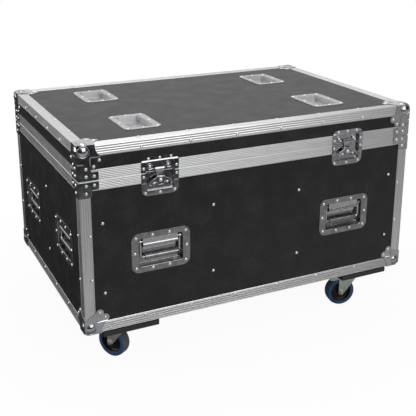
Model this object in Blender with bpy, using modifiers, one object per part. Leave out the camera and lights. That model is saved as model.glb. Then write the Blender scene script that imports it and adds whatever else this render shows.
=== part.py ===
"""Lighting flight case on four castors, in metres, +Z up.

The origin is on the floor below the middle of the case. The front, with the
latches, looks along -Y. The lid turns on hinges along the top of the back.
"""
import math

import bmesh
import bpy
from mathutils import Matrix, Vector

# Whole case, measured over the faces of the aluminium edging
CASE_WIDTH = 1.190
CASE_DEPTH = 0.800
BODY_HEIGHT = 0.602
LID_HEIGHT = 0.108
PANEL_THICKNESS = 0.009
TOUCH_GAP = 0.0003

# Aluminium edging along the edges and up the corners
ANGLE_LEG = 0.035
ANGLE_WALL = 0.0018
ANGLE_EDGE = 0.0015
PANEL_INSET = ANGLE_WALL + TOUCH_GAP

# Tongue and groove edging on both sides of the seam
BASE_RIM_HEIGHT = 0.031
LID_RIM_HEIGHT = 0.0335
BASE_RIM_WEB = 0.003
LID_RIM_WEB = 0.006
RIM_INNER_LEAF = 0.014
TONGUE_SETBACK = 0.0085
TONGUE_WIDTH = 0.003
TONGUE_HEIGHT = 0.003
TONGUE_PLAY = 0.0008

# Pressed steel ball corners
BALL_RADIUS = 0.026
BALL_CENTRE_INSET = 0.018
BALL_SEGMENTS = 9
BALL_RINGS = 6
CORNER_SHEET = 0.0015
CORNER_REACH = 0.053
CORNER_APEX_CUT = 0.020
CORNER_WAIST_OUT = 0.057
CORNER_WAIST_UP = 0.018
EAR_OUT = 0.066
EAR_UP = 0.048
EAR_RADIUS = 0.0125
EAR_ARC_STEPS = 2
CORNER_STEP_RUN = 0.0015
STRIP_END = ANGLE_LEG + TOUCH_GAP

# Folded braces at the corners of the seam
BRACE_SHEET = 0.0015
BRACE_ARM = 0.0615
BRACE_ARM_HEIGHT = 0.028
BRACE_POST_WIDTH = 0.039
BRACE_POST_HEIGHT = 0.052
BRACE_LOW_CORNER = 0.011
BRACE_ARC_STEPS = 1
BRACE_FOLD = ANGLE_EDGE + 3 * TOUCH_GAP

# Sprung carrying handles in pressed steel dishes
HANDLE_FROM_CENTRE_X = 0.341
HANDLE_FROM_CENTRE_Y = CASE_DEPTH / 4
HANDLE_HEIGHT = 0.2375
DISH_SHEET = 0.0013
HANDLE_FLANGE_WIDTH = 0.196
HANDLE_FLANGE_HEIGHT = 0.131
HANDLE_FLANGE_RADIUS = 0.024
HANDLE_MOUTH_WIDTH = 0.147
HANDLE_MOUTH_HEIGHT = 0.092
HANDLE_MOUTH_RADIUS = 0.010
HANDLE_RECESS = 0.022
DISH_DRAFT = 0.002
DISH_FIT = 0.0007
BAIL_WIRE = 0.0085
BAIL_PIVOT_UP = 0.033
BAIL_GRIP_DOWN = 0.019
BAIL_LEG_OUT = 0.0655
BAIL_BEND = 0.009
BAIL_ARC_STEPS = 1
GRIP_RADIUS = 0.0085
GRIP_HALF_LENGTH = 0.052
BAIL_SETBACK = 0.0115

# Butterfly latches across the seam
LATCH_FROM_CENTRE = 0.341
LATCH_WIDTH = 0.122
LATCH_DROP = 0.074
KEEPER_RISE = 0.0485
LATCH_CORNER = 0.022
LATCH_POCKET_WIDTH = 0.092
LATCH_POCKET_DROP = 0.058
KEEPER_POCKET_RISE = 0.0345
LATCH_POCKET_CORNER = 0.008
LATCH_POCKET_DEPTH = 0.0095
LATCH_STEP_RUN = 0.002
CAM_DROP = 0.027
CAM_RADIUS = 0.0145
CAM_THICKNESS = 0.0024
SPINDLE_RADIUS = 0.004
KNUCKLE_WIDTH = 0.010
KNUCKLE_RADIUS = 0.0032
WING_PIVOT_UP = 0.0115
WING_PIN_RADIUS = 0.0016
WING_PIN_LENGTH = 0.026
WING_THICKNESS = 0.0024
WING_HALF_SPAN = 0.038
WING_FALL = 0.030
WING_PIVOT_OUT = 0.0043
WING_OUTLINE_SHARES = ((0.145, 0.02), (0.30, 0.10), (0.42, 0.26), (0.62, 0.34), (0.85, 0.58),
                       (1.0, 0.92), (0.96, 1.0), (0.84, 0.98), (0.70, 0.76), (0.46, 0.66),
                       (0.30, 0.80), (0.20, 0.98))
HOOK_HALF_WIDTH = 0.013
HOOK_NOSE_HALF_WIDTH = 0.0155
HOOK_THICKNESS = 0.002
HOOK_TOP = 0.013
HOOK_NOSE_DEPTH = 0.0015
HOOK_BOTTOM_DROP = 0.042
HOOK_TRAVEL = 0.006
CATCH_HALF_WIDTH = 0.022
CATCH_LOW = 0.0015
CATCH_HIGH = 0.008
CATCH_THICKNESS = 0.0024
BOSS_OUT = 0.0295
BOSS_UP = 0.016
BOSS_RADIUS = 0.0095
BOSS_PIN_RADIUS = 0.004
BOSS_HEIGHT = 0.0045

# Dishes in the lid that take the castors of a case stacked on top
CUP_FROM_SIDE = 0.250
CUP_FROM_FRONT = 0.2015
CUP_FLANGE_WIDTH = 0.124
CUP_FLANGE_LENGTH = 0.1785
CUP_FLANGE_RADIUS = 0.020
CUP_MOUTH_WIDTH = 0.080
CUP_MOUTH_LENGTH = 0.142
CUP_MOUTH_RADIUS = 0.012
CUP_DEPTH = 0.025

# Dividers that part the inside into bays
DIVIDER_THICKNESS = 0.009
CROSS_DIVIDER_X = 0.159
DIVIDER_TOP_DROP = 0.050

# Hinges along the back of the seam
HINGE_SPACING = 0.400
HINGE_LENGTH = 0.064
HINGE_LEAF = 0.026
HINGE_SHEET = 0.002
HINGE_PIN_RADIUS = 0.0015
HINGE_BARREL_RADIUS = 0.0028
HINGE_PLAY = 0.0003
HINGE_SIDES = 6

# Castors on plywood boards
BOARD_WIDTH = 0.185
BOARD_DEPTH = 0.165
BOARD_THICKNESS = 0.018
BOARD_SIDE_INSET = 0.0575
BOARD_FRONT_INSET = 0.0005
BOARD_EDGE = 0.001
CASTOR_HEIGHT = 0.139
WHEEL_RADIUS = 0.0525
TYRE_WIDTH = 0.036
TYRE_SHOULDER = 0.006
TYRE_DEPTH = 0.013
HUB_BOSS_RADIUS = 0.012
HUB_WEB = 0.010
HUB_RIM = 0.004
WHEEL_STEPS = 14
CASTOR_TRAIL = 0.040
PLATE_LENGTH = 0.105
PLATE_WIDTH = 0.085
PLATE_THICKNESS = 0.0025
PLATE_CORNER = 0.008
RACE_RADIUS = 0.031
RACE_THICKNESS = 0.004
RACE_STEPS = 10
HEAD_RADIUS = 0.029
FORK_SHEET = 0.003
FORK_PLAY = 0.0022
FORK_CROWN_TOP = 0.1225
FORK_CROWN_FRONT = 0.023
FORK_EYE_RADIUS = 0.011
AXLE_RADIUS = 0.005
AXLE_HEAD_RADIUS = 0.0085
AXLE_HEAD = 0.005
AXLE_PLAY = 0.0004
PEDAL_LENGTH = 0.050
PEDAL_WIDTH = 0.040
PEDAL_THICKNESS = 0.0025
PEDAL_DROP = 0.007
PEDAL_LIP = 0.006
PEDAL_EYE_RADIUS = 0.0032
PEDAL_REACH = 0.0005
TURN_FRONT_LEFT = -57.0
TURN_FRONT_RIGHT = -12.0
TURN_BACK_LEFT = -35.0
TURN_BACK_RIGHT = -22.0

ROUND_STEPS = 2
ROD_SIDES = 8
CUT_OVERRUN = 0.010

# Heights and depths worked out from the sizes above
BOARD_STAND_OFF = CORNER_SHEET + 2 * TOUCH_GAP
BODY_Z = CASTOR_HEIGHT + BOARD_THICKNESS + BOARD_STAND_OFF
TOP_Z = BODY_Z + BODY_HEIGHT
SEAM_Z = TOP_Z - LID_HEIGHT
WALL_INNER = PANEL_INSET + PANEL_THICKNESS + TOUCH_GAP
RIM_DEPTH = WALL_INNER + ANGLE_WALL
HINGE_OUT = HINGE_BARREL_RADIUS + TOUCH_GAP
HINGE_Z = SEAM_Z + TOUCH_GAP / 2
PANEL_FACE = -PANEL_INSET
BALL_INNER_SUM = 3 * BALL_CENTRE_INSET - math.sqrt(3.0) * (BALL_RADIUS - CORNER_SHEET)
PANEL_CLIP_SUM = BALL_INNER_SUM + 2 * TOUCH_GAP
DISH_FACE = PANEL_FACE + TOUCH_GAP + DISH_SHEET
FACE_TURNS = {"front": 0.0, "right": 90.0, "back": 180.0, "left": 270.0}
FACE_DISTANCE = {"front": CASE_DEPTH / 2, "back": CASE_DEPTH / 2, "left": CASE_WIDTH / 2, "right": CASE_WIDTH / 2}
CORNERS = ((-1, -1, 0.0), (1, -1, 90.0), (1, 1, 180.0), (-1, 1, 270.0))
HANDLE_SIDES = {"front": ("left", "right"), "right": ("front", "back"),
                "back": ("right", "left"), "left": ("back", "front")}

ALUMINIUM = ("anodised_aluminium", (0.62, 0.63, 0.63), 0.35, 1.0)
LAMINATE = ("black_laminate", (0.022, 0.022, 0.023), 0.55, 0.0)
CHROME = ("chromed_steel", (0.42, 0.42, 0.43), 0.18, 1.0)
ZINC = ("zinc_plated_steel", (0.40, 0.42, 0.42), 0.35, 1.0)
PLYWOOD = ("black_plywood", (0.035, 0.033, 0.031), 0.75, 0.0)
BIRCH = ("birch_plywood", (0.55, 0.40, 0.24), 0.60, 0.0)
BLUE_RUBBER = ("blue_rubber", (0.035, 0.09, 0.20), 0.60, 0.0)

for old in list(bpy.data.objects):
    bpy.data.objects.remove(old, do_unlink=True)

case = bpy.data.collections.new("lighting_flight_case")
bpy.context.scene.collection.children.link(case)


def material(finish):
    """Principled material of one finish, made once."""
    name, colour, roughness, metallic = finish
    made = bpy.data.materials.get(name)
    if made:
        return made
    made = bpy.data.materials.new(name)
    made.use_nodes = True
    shader = made.node_tree.nodes["Principled BSDF"]
    shader.inputs["Base Color"].default_value = (*colour, 1.0)
    shader.inputs["Roughness"].default_value = roughness
    shader.inputs["Metallic"].default_value = metallic
    return made


def shift(x=0.0, y=0.0, z=0.0):
    return Matrix.Translation((x, y, z))


def turn(degrees, axis):
    return Matrix.Rotation(math.radians(degrees), 4, axis)


def face_frame(face, across, up):
    """Local X across the face, local Y up, local Z out of it, zero on the edging's outer face."""
    place = shift(across, -FACE_DISTANCE[face], up)
    return turn(FACE_TURNS[face], "Z") @ place @ turn(90.0, "X")


def corner_frame(side_x, side_y, degrees, z, flipped=False):
    """Local X and Y run along two edges from a corner of the case, local Z up from it."""
    place = shift(side_x * CASE_WIDTH / 2, side_y * CASE_DEPTH / 2, z) @ turn(degrees, "Z")
    return place @ turn(180.0, Vector((1.0, 1.0, 0.0))) if flipped else place


def evaluated(maker):
    """Mesh of a temporary object or curve with its modifiers applied, its loose caps joined."""
    bpy.context.scene.collection.objects.link(maker)
    bpy.context.view_layer.update()
    graph = bpy.context.evaluated_depsgraph_get()
    mesh = bpy.data.meshes.new_from_object(maker.evaluated_get(graph))
    data = maker.data
    bpy.data.objects.remove(maker, do_unlink=True)
    if isinstance(data, bpy.types.Curve):
        bpy.data.curves.remove(data)
        welded = bmesh.new()
        welded.from_mesh(mesh)
        bmesh.ops.remove_doubles(welded, verts=welded.verts, dist=TOUCH_GAP / 30)
        bmesh.ops.recalc_face_normals(welded, faces=welded.faces)
        welded.to_mesh(mesh)
        welded.free()
    return mesh


def to_mesh(bm):
    mesh = bpy.data.meshes.new("shape")
    bmesh.ops.recalc_face_normals(bm, faces=bm.faces)
    bm.to_mesh(mesh)
    bm.free()
    return mesh


def combined(parts):
    """One mesh of several (mesh, matrix) pairs, as separate bodies."""
    bm = bmesh.new()
    for mesh, matrix in parts:
        copy = mesh.copy()
        copy.transform(matrix)
        if matrix.determinant() < 0:
            copy.flip_normals()
        bm.from_mesh(copy)
        bpy.data.meshes.remove(copy)
    mesh = bpy.data.meshes.new("shape")
    bm.to_mesh(mesh)
    bm.free()
    return mesh


def boolean(mesh, other, operation, solver="EXACT"):
    """Union with, or difference from, another closed mesh."""
    target = bpy.data.objects.new("target", mesh)
    cutter = bpy.data.objects.new("cutter", other)
    bpy.context.scene.collection.objects.link(cutter)
    step = target.modifiers.new("boolean", "BOOLEAN")
    step.operation = operation
    step.solver = solver
    step.object = cutter
    result = evaluated(target)
    bpy.data.objects.remove(cutter, do_unlink=True)
    return result


def node(name, mesh, finish, pivot=None, parent=None):
    """Named piece of the case; its origin is on the pivot, where it has one."""
    mesh = mesh.copy()
    mesh.name = name
    piece = bpy.data.objects.new(name, mesh)
    case.objects.link(piece)
    mesh.materials.clear()
    mesh.materials.append(material(finish))
    if pivot is not None:
        mesh.transform(Matrix.Translation(-Vector(pivot)))
        piece.location = pivot
    if parent is not None:
        piece.parent = parent
        piece.location = Vector(piece.location) - parent.location
    return piece


def axis_empty(name, place):
    empty = bpy.data.objects.new(name, None)
    empty.location = place
    case.objects.link(empty)
    return empty


def arc(centre, radius, start, end, steps):
    """Points of an arc between two angles in degrees."""
    turns = [math.radians(start + (end - start) * step / steps) for step in range(steps + 1)]
    return [(centre[0] + radius * math.cos(a), centre[1] + radius * math.sin(a)) for a in turns]


def rounded_rectangle(width, height, radius, centre=(0.0, 0.0), steps=ROUND_STEPS):
    points = []
    for quarter, (side_x, side_y) in enumerate(((1, 1), (-1, 1), (-1, -1), (1, -1))):
        middle = (centre[0] + side_x * (width / 2 - radius), centre[1] + side_y * (height / 2 - radius))
        points += arc(middle, radius, 90.0 * quarter, 90.0 * (quarter + 1), steps)
    return points


def plate(outlines, thickness):
    """Flat plate, outlines after the first being holes, its middle plane at zero."""
    curve = bpy.data.curves.new("outline", "CURVE")
    curve.dimensions = "2D"
    curve.fill_mode = "BOTH"
    curve.extrude = thickness / 2
    for outline in outlines:
        spline = curve.splines.new("POLY")
        spline.points.add(len(outline) - 1)
        for point, (x, y) in zip(spline.points, outline):
            point.co = (x, y, 0.0, 1.0)
        spline.use_cyclic_u = True
    return evaluated(bpy.data.objects.new("outline", curve))


def box(low, high):
    bm = bmesh.new()
    size = Vector(high) - Vector(low)
    middle = (Vector(high) + Vector(low)) / 2
    bmesh.ops.create_cube(bm, size=1.0, matrix=Matrix.Translation(middle) @ Matrix.Diagonal((*size, 1.0)))
    return to_mesh(bm)


def cylinder(radius, low, high, sides=ROD_SIDES):
    """Cylinder along local Z between two heights."""
    bm = bmesh.new()
    bmesh.ops.create_cone(bm, cap_ends=True, segments=sides, radius1=radius, radius2=radius,
                          depth=high - low, matrix=shift(z=(low + high) / 2))
    return to_mesh(bm)


def turned(profile, steps):
    """Closed ring or disc turned about local Z from (radius, height) points, down its outer side."""
    mesh = bpy.data.meshes.new("profile")
    points = [(radius, 0.0, height) for radius, height in profile]
    count = len(points)
    mesh.from_pydata(points, [(i, (i + 1) % count) for i in range(count)], [])
    shape = bpy.data.objects.new("profile", mesh)
    screw = shape.modifiers.new("turned", "SCREW")
    screw.axis = "Z"
    screw.steps = steps
    screw.render_steps = steps
    screw.use_merge_vertices = True
    screw.merge_threshold = TOUCH_GAP / 30
    bm = bmesh.new()
    bm.from_mesh(evaluated(shape))
    return to_mesh(bm)


def rod(points, radius, resolution=1):
    """Round wire along a path of points, with closed ends."""
    curve = bpy.data.curves.new("wire", "CURVE")
    curve.dimensions = "3D"
    curve.bevel_depth = radius
    curve.bevel_resolution = resolution
    curve.use_fill_caps = True
    spline = curve.splines.new("POLY")
    spline.points.add(len(points) - 1)
    for point, place in zip(spline.points, points):
        point.co = (*place, 1.0)
    return evaluated(bpy.data.objects.new("wire", curve))


def extruded(outline, vector, place):
    """Prism of a planar outline; place maps each (a, b) of the outline into space."""
    bm = bmesh.new()
    face = bm.faces.new([bm.verts.new(place(a, b)) for a, b in outline])
    made = bmesh.ops.extrude_face_region(bm, geom=[face])
    moved = [part for part in made["geom"] if isinstance(part, bmesh.types.BMVert)]
    bmesh.ops.translate(bm, verts=moved, vec=vector)
    return to_mesh(bm)


def cut(mesh, point, normal):
    """Removes what lies behind a plane and closes the opening."""
    bm = bmesh.new()
    bm.from_mesh(mesh)
    everything = bm.verts[:] + bm.edges[:] + bm.faces[:]
    made = bmesh.ops.bisect_plane(bm, geom=everything, plane_co=point, plane_no=normal, clear_inner=True)
    edges = [part for part in made["geom_cut"] if isinstance(part, bmesh.types.BMEdge)]
    bmesh.ops.edgeloop_fill(bm, edges=edges)
    return to_mesh(bm)


def sheet(bm, thickness, outwards=False):
    """Sheet metal from an open surface whose faces look out."""
    mesh = bpy.data.meshes.new("sheet")
    bm.to_mesh(mesh)
    bm.free()
    shape = bpy.data.objects.new("sheet", mesh)
    wall = shape.modifiers.new("wall", "SOLIDIFY")
    wall.thickness = thickness
    wall.offset = 1.0 if outwards else -1.0
    wall.use_even_offset = True
    return evaluated(shape)


def loft(bm, outlines, closed=True):
    """Surface through outlines of equally many points, given from the outer one in."""
    rows = [[bm.verts.new(point) for point in outline] for outline in outlines]
    for outer, inner in zip(rows, rows[1:]):
        count = len(outer)
        for i in range(count if closed else count - 1):
            j = (i + 1) % count
            bm.faces.new((outer[i], outer[j], inner[j], inner[i]))
    bm.faces.new(rows[-1])
    return rows


def lifted(outline, height):
    return [(x, y, height) for x, y in outline]


def angle_profile():
    """Section of the edging, its outer corner broken at zero and its legs along +a and +b."""
    return [(ANGLE_LEG, 0.0), (ANGLE_EDGE, 0.0), (0.0, ANGLE_EDGE), (0.0, ANGLE_LEG), (ANGLE_WALL, ANGLE_LEG),
            (ANGLE_WALL, ANGLE_WALL), (ANGLE_LEG, ANGLE_WALL)]


def angle_strip(corner, leg_a, leg_b, along):
    """Edging from a point on the case's edge, with its legs in two directions."""
    corner, leg_a, leg_b = Vector(corner), Vector(leg_a), Vector(leg_b)
    return extruded(angle_profile(), Vector(along), lambda a, b: corner + leg_a * a + leg_b * b)


def horizontal_strips(z, up):
    """Four lengths of edging round the top or the bottom of the case, ending under its ball corners."""
    strips = []
    for face in FACE_TURNS:
        half = (CASE_WIDTH if face in ("front", "back") else CASE_DEPTH) / 2 - STRIP_END
        strip = angle_strip((-half, -FACE_DISTANCE[face], z), (0.0, 1.0, 0.0), (0.0, 0.0, up), (2 * half, 0.0, 0.0))
        strips.append((strip, turn(FACE_TURNS[face], "Z")))
    return combined(strips)


def corner_posts(low, high):
    """Four upright lengths of edging at the corners of the case."""
    strip = angle_strip((0.0, 0.0, low), (1.0, 0.0, 0.0), (0.0, 1.0, 0.0), (0.0, 0.0, high - low))
    return combined([(strip, corner_frame(x, y, degrees, 0.0)) for x, y, degrees in CORNERS])


def base_rim_profile():
    """Section of the lower seam edging: depth from the outer face, height from the seam."""
    tongue_out = TONGUE_SETBACK + TONGUE_WIDTH
    outline = [(0.0, -BASE_RIM_HEIGHT), (0.0, 0.0), (TONGUE_SETBACK, 0.0)]
    outline += [(TONGUE_SETBACK, TONGUE_HEIGHT), (tongue_out, TONGUE_HEIGHT), (tongue_out, 0.0)]
    outline += [(RIM_DEPTH, 0.0), (RIM_DEPTH, -RIM_INNER_LEAF), (WALL_INNER, -RIM_INNER_LEAF)]
    outline += [(WALL_INNER, -BASE_RIM_WEB), (ANGLE_WALL, -BASE_RIM_WEB), (ANGLE_WALL, -BASE_RIM_HEIGHT)]
    return outline


def lid_rim_profile():
    """Section of the upper seam edging, with the groove that takes the tongue."""
    groove_in = TONGUE_SETBACK - TONGUE_PLAY
    groove_out = TONGUE_SETBACK + TONGUE_WIDTH + TONGUE_PLAY
    depth = TONGUE_HEIGHT + TONGUE_PLAY
    outline = [(0.0, LID_RIM_HEIGHT), (0.0, TOUCH_GAP), (groove_in, TOUCH_GAP), (groove_in, depth), (groove_out, depth)]
    outline += [(groove_out, TOUCH_GAP), (RIM_DEPTH, TOUCH_GAP), (RIM_DEPTH, RIM_INNER_LEAF)]
    outline += [(WALL_INNER, RIM_INNER_LEAF), (WALL_INNER, LID_RIM_WEB), (ANGLE_WALL, LID_RIM_WEB)]
    return outline + [(ANGLE_WALL, LID_RIM_HEIGHT)]


def rim_ring(profile):
    """Seam edging: its section carried round the case, mitred at the corners, notched for the latches."""
    bm = bmesh.new()
    rows = []
    for side_x, side_y, _ in CORNERS:
        row = [bm.verts.new((side_x * (CASE_WIDTH / 2 - a), side_y * (CASE_DEPTH / 2 - a), SEAM_Z + b))
               for a, b in profile]
        rows.append(row)
    for row, following in zip(rows, rows[1:] + rows[:1]):
        for i in range(len(row)):
            j = (i + 1) % len(row)
            bm.faces.new((row[i], row[j], following[j], following[i]))
    return boolean(to_mesh(bm), combined([(latch_notch(side), shift()) for side in (-1, 1)]), "DIFFERENCE")


def latch_notch(side):
    """Block taken out of the seam edging where a latch's pocket goes in."""
    half = LATCH_POCKET_WIDTH / 2 + DISH_SHEET + DISH_FIT
    low = (side * LATCH_FROM_CENTRE - half, -CASE_DEPTH / 2 - CUT_OVERRUN, SEAM_Z - LID_HEIGHT)
    high = (side * LATCH_FROM_CENTRE + half, -CASE_DEPTH / 2 + LATCH_POCKET_DEPTH + DISH_FIT, SEAM_Z + LID_HEIGHT)
    return box(low, high)


def handle_hole(across, up):
    """Hole in a panel for a handle dish."""
    grow = 2 * (DISH_SHEET + DISH_FIT)
    return rounded_rectangle(HANDLE_MOUTH_WIDTH + grow, HANDLE_MOUTH_HEIGHT + grow,
                             HANDLE_MOUTH_RADIUS + grow / 2, (across, up))


def handle_places(face):
    """Distances from the middle of a face to its two handles."""
    reach = HANDLE_FROM_CENTRE_X if face in ("front", "back") else HANDLE_FROM_CENTRE_Y
    return (-reach, reach)


def notched_wall(half, low, high, notch_low=0.0, notch_high=0.0):
    """Outline of a wall, its seam edge notched for the latches, from its middle to both ends."""
    reach = LATCH_POCKET_WIDTH / 2 + DISH_SHEET + DISH_FIT
    outline = [(-half, low)]
    for middle in (-LATCH_FROM_CENTRE, LATCH_FROM_CENTRE) if notch_low else ():
        outline += [(middle - reach, low), (middle - reach, low + notch_low)]
        outline += [(middle + reach, low + notch_low), (middle + reach, low)]
    outline += [(half, low), (half, high)]
    for middle in (LATCH_FROM_CENTRE, -LATCH_FROM_CENTRE) if notch_high else ():
        outline += [(middle + reach, high), (middle + reach, high - notch_high)]
        outline += [(middle - reach, high - notch_high), (middle - reach, high)]
    return outline + [(-half, high)]


def wall_place(face):
    """Frame of a wall whose plate is centred on its own thickness."""
    return face_frame(face, 0.0, 0.0) @ shift(z=PANEL_FACE - PANEL_THICKNESS / 2)


def wall_half(face):
    """Half the length of a wall; the side walls fit between the front and the back."""
    if face in ("front", "back"):
        return CASE_WIDTH / 2 - PANEL_INSET
    return CASE_DEPTH / 2 - WALL_INNER


def base_wall(face):
    """Wall of the base with the holes for two handles."""
    high = SEAM_Z - BASE_RIM_WEB - TOUCH_GAP
    notch = LATCH_POCKET_DROP + DISH_SHEET + DISH_FIT - (SEAM_Z - high) if face == "front" else 0.0
    outer = notched_wall(wall_half(face), BODY_Z + WALL_INNER, high, notch_high=notch)
    holes = [handle_hole(across, BODY_Z + HANDLE_HEIGHT) for across in handle_places(face)]
    return combined([(plate([outer] + holes, PANEL_THICKNESS), wall_place(face))])


def lid_walls():
    """The lid's four walls, glued into one ring; the front one is notched for the latches."""
    low = SEAM_Z + LID_RIM_WEB + TOUCH_GAP
    high = TOP_Z - WALL_INNER
    notch = KEEPER_POCKET_RISE + DISH_SHEET + DISH_FIT - (low - SEAM_Z)
    ring = combined([(plate([notched_wall(wall_half("front"), low, high, notch_low=notch)], PANEL_THICKNESS),
                      wall_place("front"))])
    side_half = wall_half("left") + PANEL_THICKNESS / 2
    for face, half in (("left", side_half), ("right", side_half), ("back", wall_half("back"))):
        wall = combined([(plate([notched_wall(half, low, high)], PANEL_THICKNESS), wall_place(face))])
        ring = boolean(ring, wall, "UNION")
    return ring


def clipped_sheet_outline():
    """Outline of the floor and the top panel, clipped at the ball corners."""
    half_x = CASE_WIDTH / 2 - PANEL_INSET
    half_y = CASE_DEPTH / 2 - PANEL_INSET
    clip = PANEL_CLIP_SUM - 2 * PANEL_INSET
    outline = []
    for side_x, side_y in ((1, 1), (-1, 1), (-1, -1), (1, -1)):
        pair = [(side_x * half_x, side_y * (half_y - clip)), (side_x * (half_x - clip), side_y * half_y)]
        outline += pair if side_x * side_y > 0 else pair[::-1]
    return outline


def cup_places():
    """Middle of each castor dish in the lid, with the case's corner that it belongs to."""
    across = CASE_WIDTH / 2 - CUP_FROM_SIDE
    along = CASE_DEPTH / 2 - CUP_FROM_FRONT
    return {f"{depth}_{side}": (x * across, y * along)
            for depth, y in (("front", -1), ("back", 1)) for side, x in (("left", -1), ("right", 1))}


def lid_top():
    """Top panel with the holes for the castor dishes."""
    grow = 2 * (DISH_SHEET + DISH_FIT)
    holes = [rounded_rectangle(CUP_MOUTH_WIDTH + grow, CUP_MOUTH_LENGTH + grow, CUP_MOUTH_RADIUS + grow / 2, place)
             for place in cup_places().values()]
    panel = plate([clipped_sheet_outline()] + holes, PANEL_THICKNESS)
    return combined([(panel, shift(z=TOP_Z - PANEL_INSET - PANEL_THICKNESS / 2))])


def base_floor():
    return combined([(plate([clipped_sheet_outline()], PANEL_THICKNESS),
                      shift(z=BODY_Z + PANEL_INSET + PANEL_THICKNESS / 2))])


def dish(flange, mouth, recess):
    """Pressed dish: flange on the panel, drafted walls and a flat bottom; (width, height, radius) each."""
    bm = bmesh.new()
    bottom = (mouth[0] - 2 * DISH_DRAFT, mouth[1] - 2 * DISH_DRAFT, mouth[2] - DISH_DRAFT)
    loft(bm, [lifted(rounded_rectangle(*flange), 0.0), lifted(rounded_rectangle(*mouth), 0.0),
              lifted(rounded_rectangle(*bottom), -recess)])
    return sheet(bm, DISH_SHEET)


def handle_dish():
    return dish((HANDLE_FLANGE_WIDTH, HANDLE_FLANGE_HEIGHT, HANDLE_FLANGE_RADIUS),
                (HANDLE_MOUTH_WIDTH, HANDLE_MOUTH_HEIGHT, HANDLE_MOUTH_RADIUS), HANDLE_RECESS)


def castor_cup():
    return dish((CUP_FLANGE_WIDTH, CUP_FLANGE_LENGTH, CUP_FLANGE_RADIUS),
                (CUP_MOUTH_WIDTH, CUP_MOUTH_LENGTH, CUP_MOUTH_RADIUS), CUP_DEPTH)


def bail():
    """Handle bail about its pivot: pivot rod, two legs and a thicker grip, in the face's frame."""
    fall = BAIL_PIVOT_UP + BAIL_GRIP_DOWN
    lean = DISH_DRAFT * (BAIL_SETBACK + BAIL_WIRE / 2) / HANDLE_RECESS
    reach = HANDLE_MOUTH_WIDTH / 2 - lean - TOUCH_GAP
    pivot = rod([(-reach, 0.0, 0.0), (reach, 0.0, 0.0)], BAIL_WIRE / 2)
    bend = arc((BAIL_LEG_OUT - BAIL_BEND, -fall + BAIL_BEND), BAIL_BEND, 0.0, -90.0, BAIL_ARC_STEPS)
    half = [(BAIL_LEG_OUT, 0.0)] + bend
    path = [(x, y, 0.0) for x, y in half] + [(-x, y, 0.0) for x, y in half[::-1]]
    legs = rod(path, BAIL_WIRE / 2)
    grip = combined([(cylinder(GRIP_RADIUS, -GRIP_HALF_LENGTH, GRIP_HALF_LENGTH),
                      shift(y=-fall) @ turn(90.0, "Y"))])
    return boolean(boolean(legs, pivot, "UNION"), grip, "UNION")


def brace_outline():
    """One face of a brace: distance from the corner, distance from the seam."""
    low = arc((BRACE_ARM - BRACE_LOW_CORNER / 3, BRACE_ARM_HEIGHT - BRACE_LOW_CORNER / 3),
              BRACE_LOW_CORNER / 3, 0.0, 90.0, 1)
    top = arc((BRACE_POST_WIDTH - BRACE_LOW_CORNER, BRACE_POST_HEIGHT - BRACE_LOW_CORNER),
              BRACE_LOW_CORNER, 0.0, 90.0, BRACE_ARC_STEPS)
    return [(0.0, 0.0), (BRACE_ARM, 0.0)] + low + [(BRACE_POST_WIDTH, BRACE_ARM_HEIGHT)] + top + [(0.0, BRACE_POST_HEIGHT)]


def brace():
    """Sheet brace folded round a corner post, rising from the seam."""
    bm = bmesh.new()
    foot = bm.verts.new((-TOUCH_GAP, -TOUCH_GAP, TOUCH_GAP))
    head = bm.verts.new((-TOUCH_GAP, -TOUCH_GAP, BRACE_POST_HEIGHT))
    outline = brace_outline()[1:-1]
    front = [bm.verts.new((a, -TOUCH_GAP, max(b, TOUCH_GAP))) for a, b in outline]
    side = [bm.verts.new((-TOUCH_GAP, a, max(b, TOUCH_GAP))) for a, b in outline]
    bm.faces.new([foot] + front + [head])
    bm.faces.new([head] + side[::-1] + [foot])
    folded = sheet(bm, BRACE_SHEET, outwards=True)
    start = -2 * TOUCH_GAP
    fold = extruded([(start, start), (BRACE_FOLD, start), (start, BRACE_FOLD)],
                    Vector((0.0, 0.0, BRACE_POST_HEIGHT - 3 * TOUCH_GAP)), lambda a, b: Vector((a, b, 2 * TOUCH_GAP)))
    return boolean(folded, fold, "UNION")


def corner_face_outline():
    """One face of a ball corner between its two folds, symmetric about the diagonal."""
    ear = arc((EAR_OUT, EAR_UP), EAR_RADIUS, -75.0, 105.0, EAR_ARC_STEPS)
    half = [(CORNER_REACH, 0.0), (CORNER_WAIST_OUT, CORNER_WAIST_UP)] + ear
    return half + [(b, a) for a, b in half[::-1]]


def stepped_face(place):
    """Face of a ball corner, stepped down from the edging to the panel under its ears."""
    bm = bmesh.new()
    outline = [(CORNER_APEX_CUT, 0.0)] + corner_face_outline() + [(0.0, CORNER_APEX_CUT)]
    bm.faces.new([bm.verts.new((a, b, 0.0)) for a, b in outline])
    edge = ANGLE_LEG + TOUCH_GAP
    for depth in (edge, edge + CORNER_STEP_RUN):
        for normal in ((1.0, 0.0, 0.0), (0.0, 1.0, 0.0)):
            everything = bm.verts[:] + bm.edges[:] + bm.faces[:]
            bmesh.ops.bisect_plane(bm, geom=everything, plane_co=Vector(normal) * depth, plane_no=normal)
    lines = [e for e in bm.edges if all(min(v.co.x, v.co.y) < edge - TOUCH_GAP for v in e.verts)]
    bmesh.ops.dissolve_edges(bm, edges=[e for e in lines if len(e.link_faces) == 2], use_verts=True)
    for vert in bm.verts:
        if min(vert.co.x, vert.co.y) > edge + CORNER_STEP_RUN / 2:
            vert.co.z -= PANEL_INSET
    bmesh.ops.transform(bm, matrix=place, verts=bm.verts)
    return bm


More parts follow.
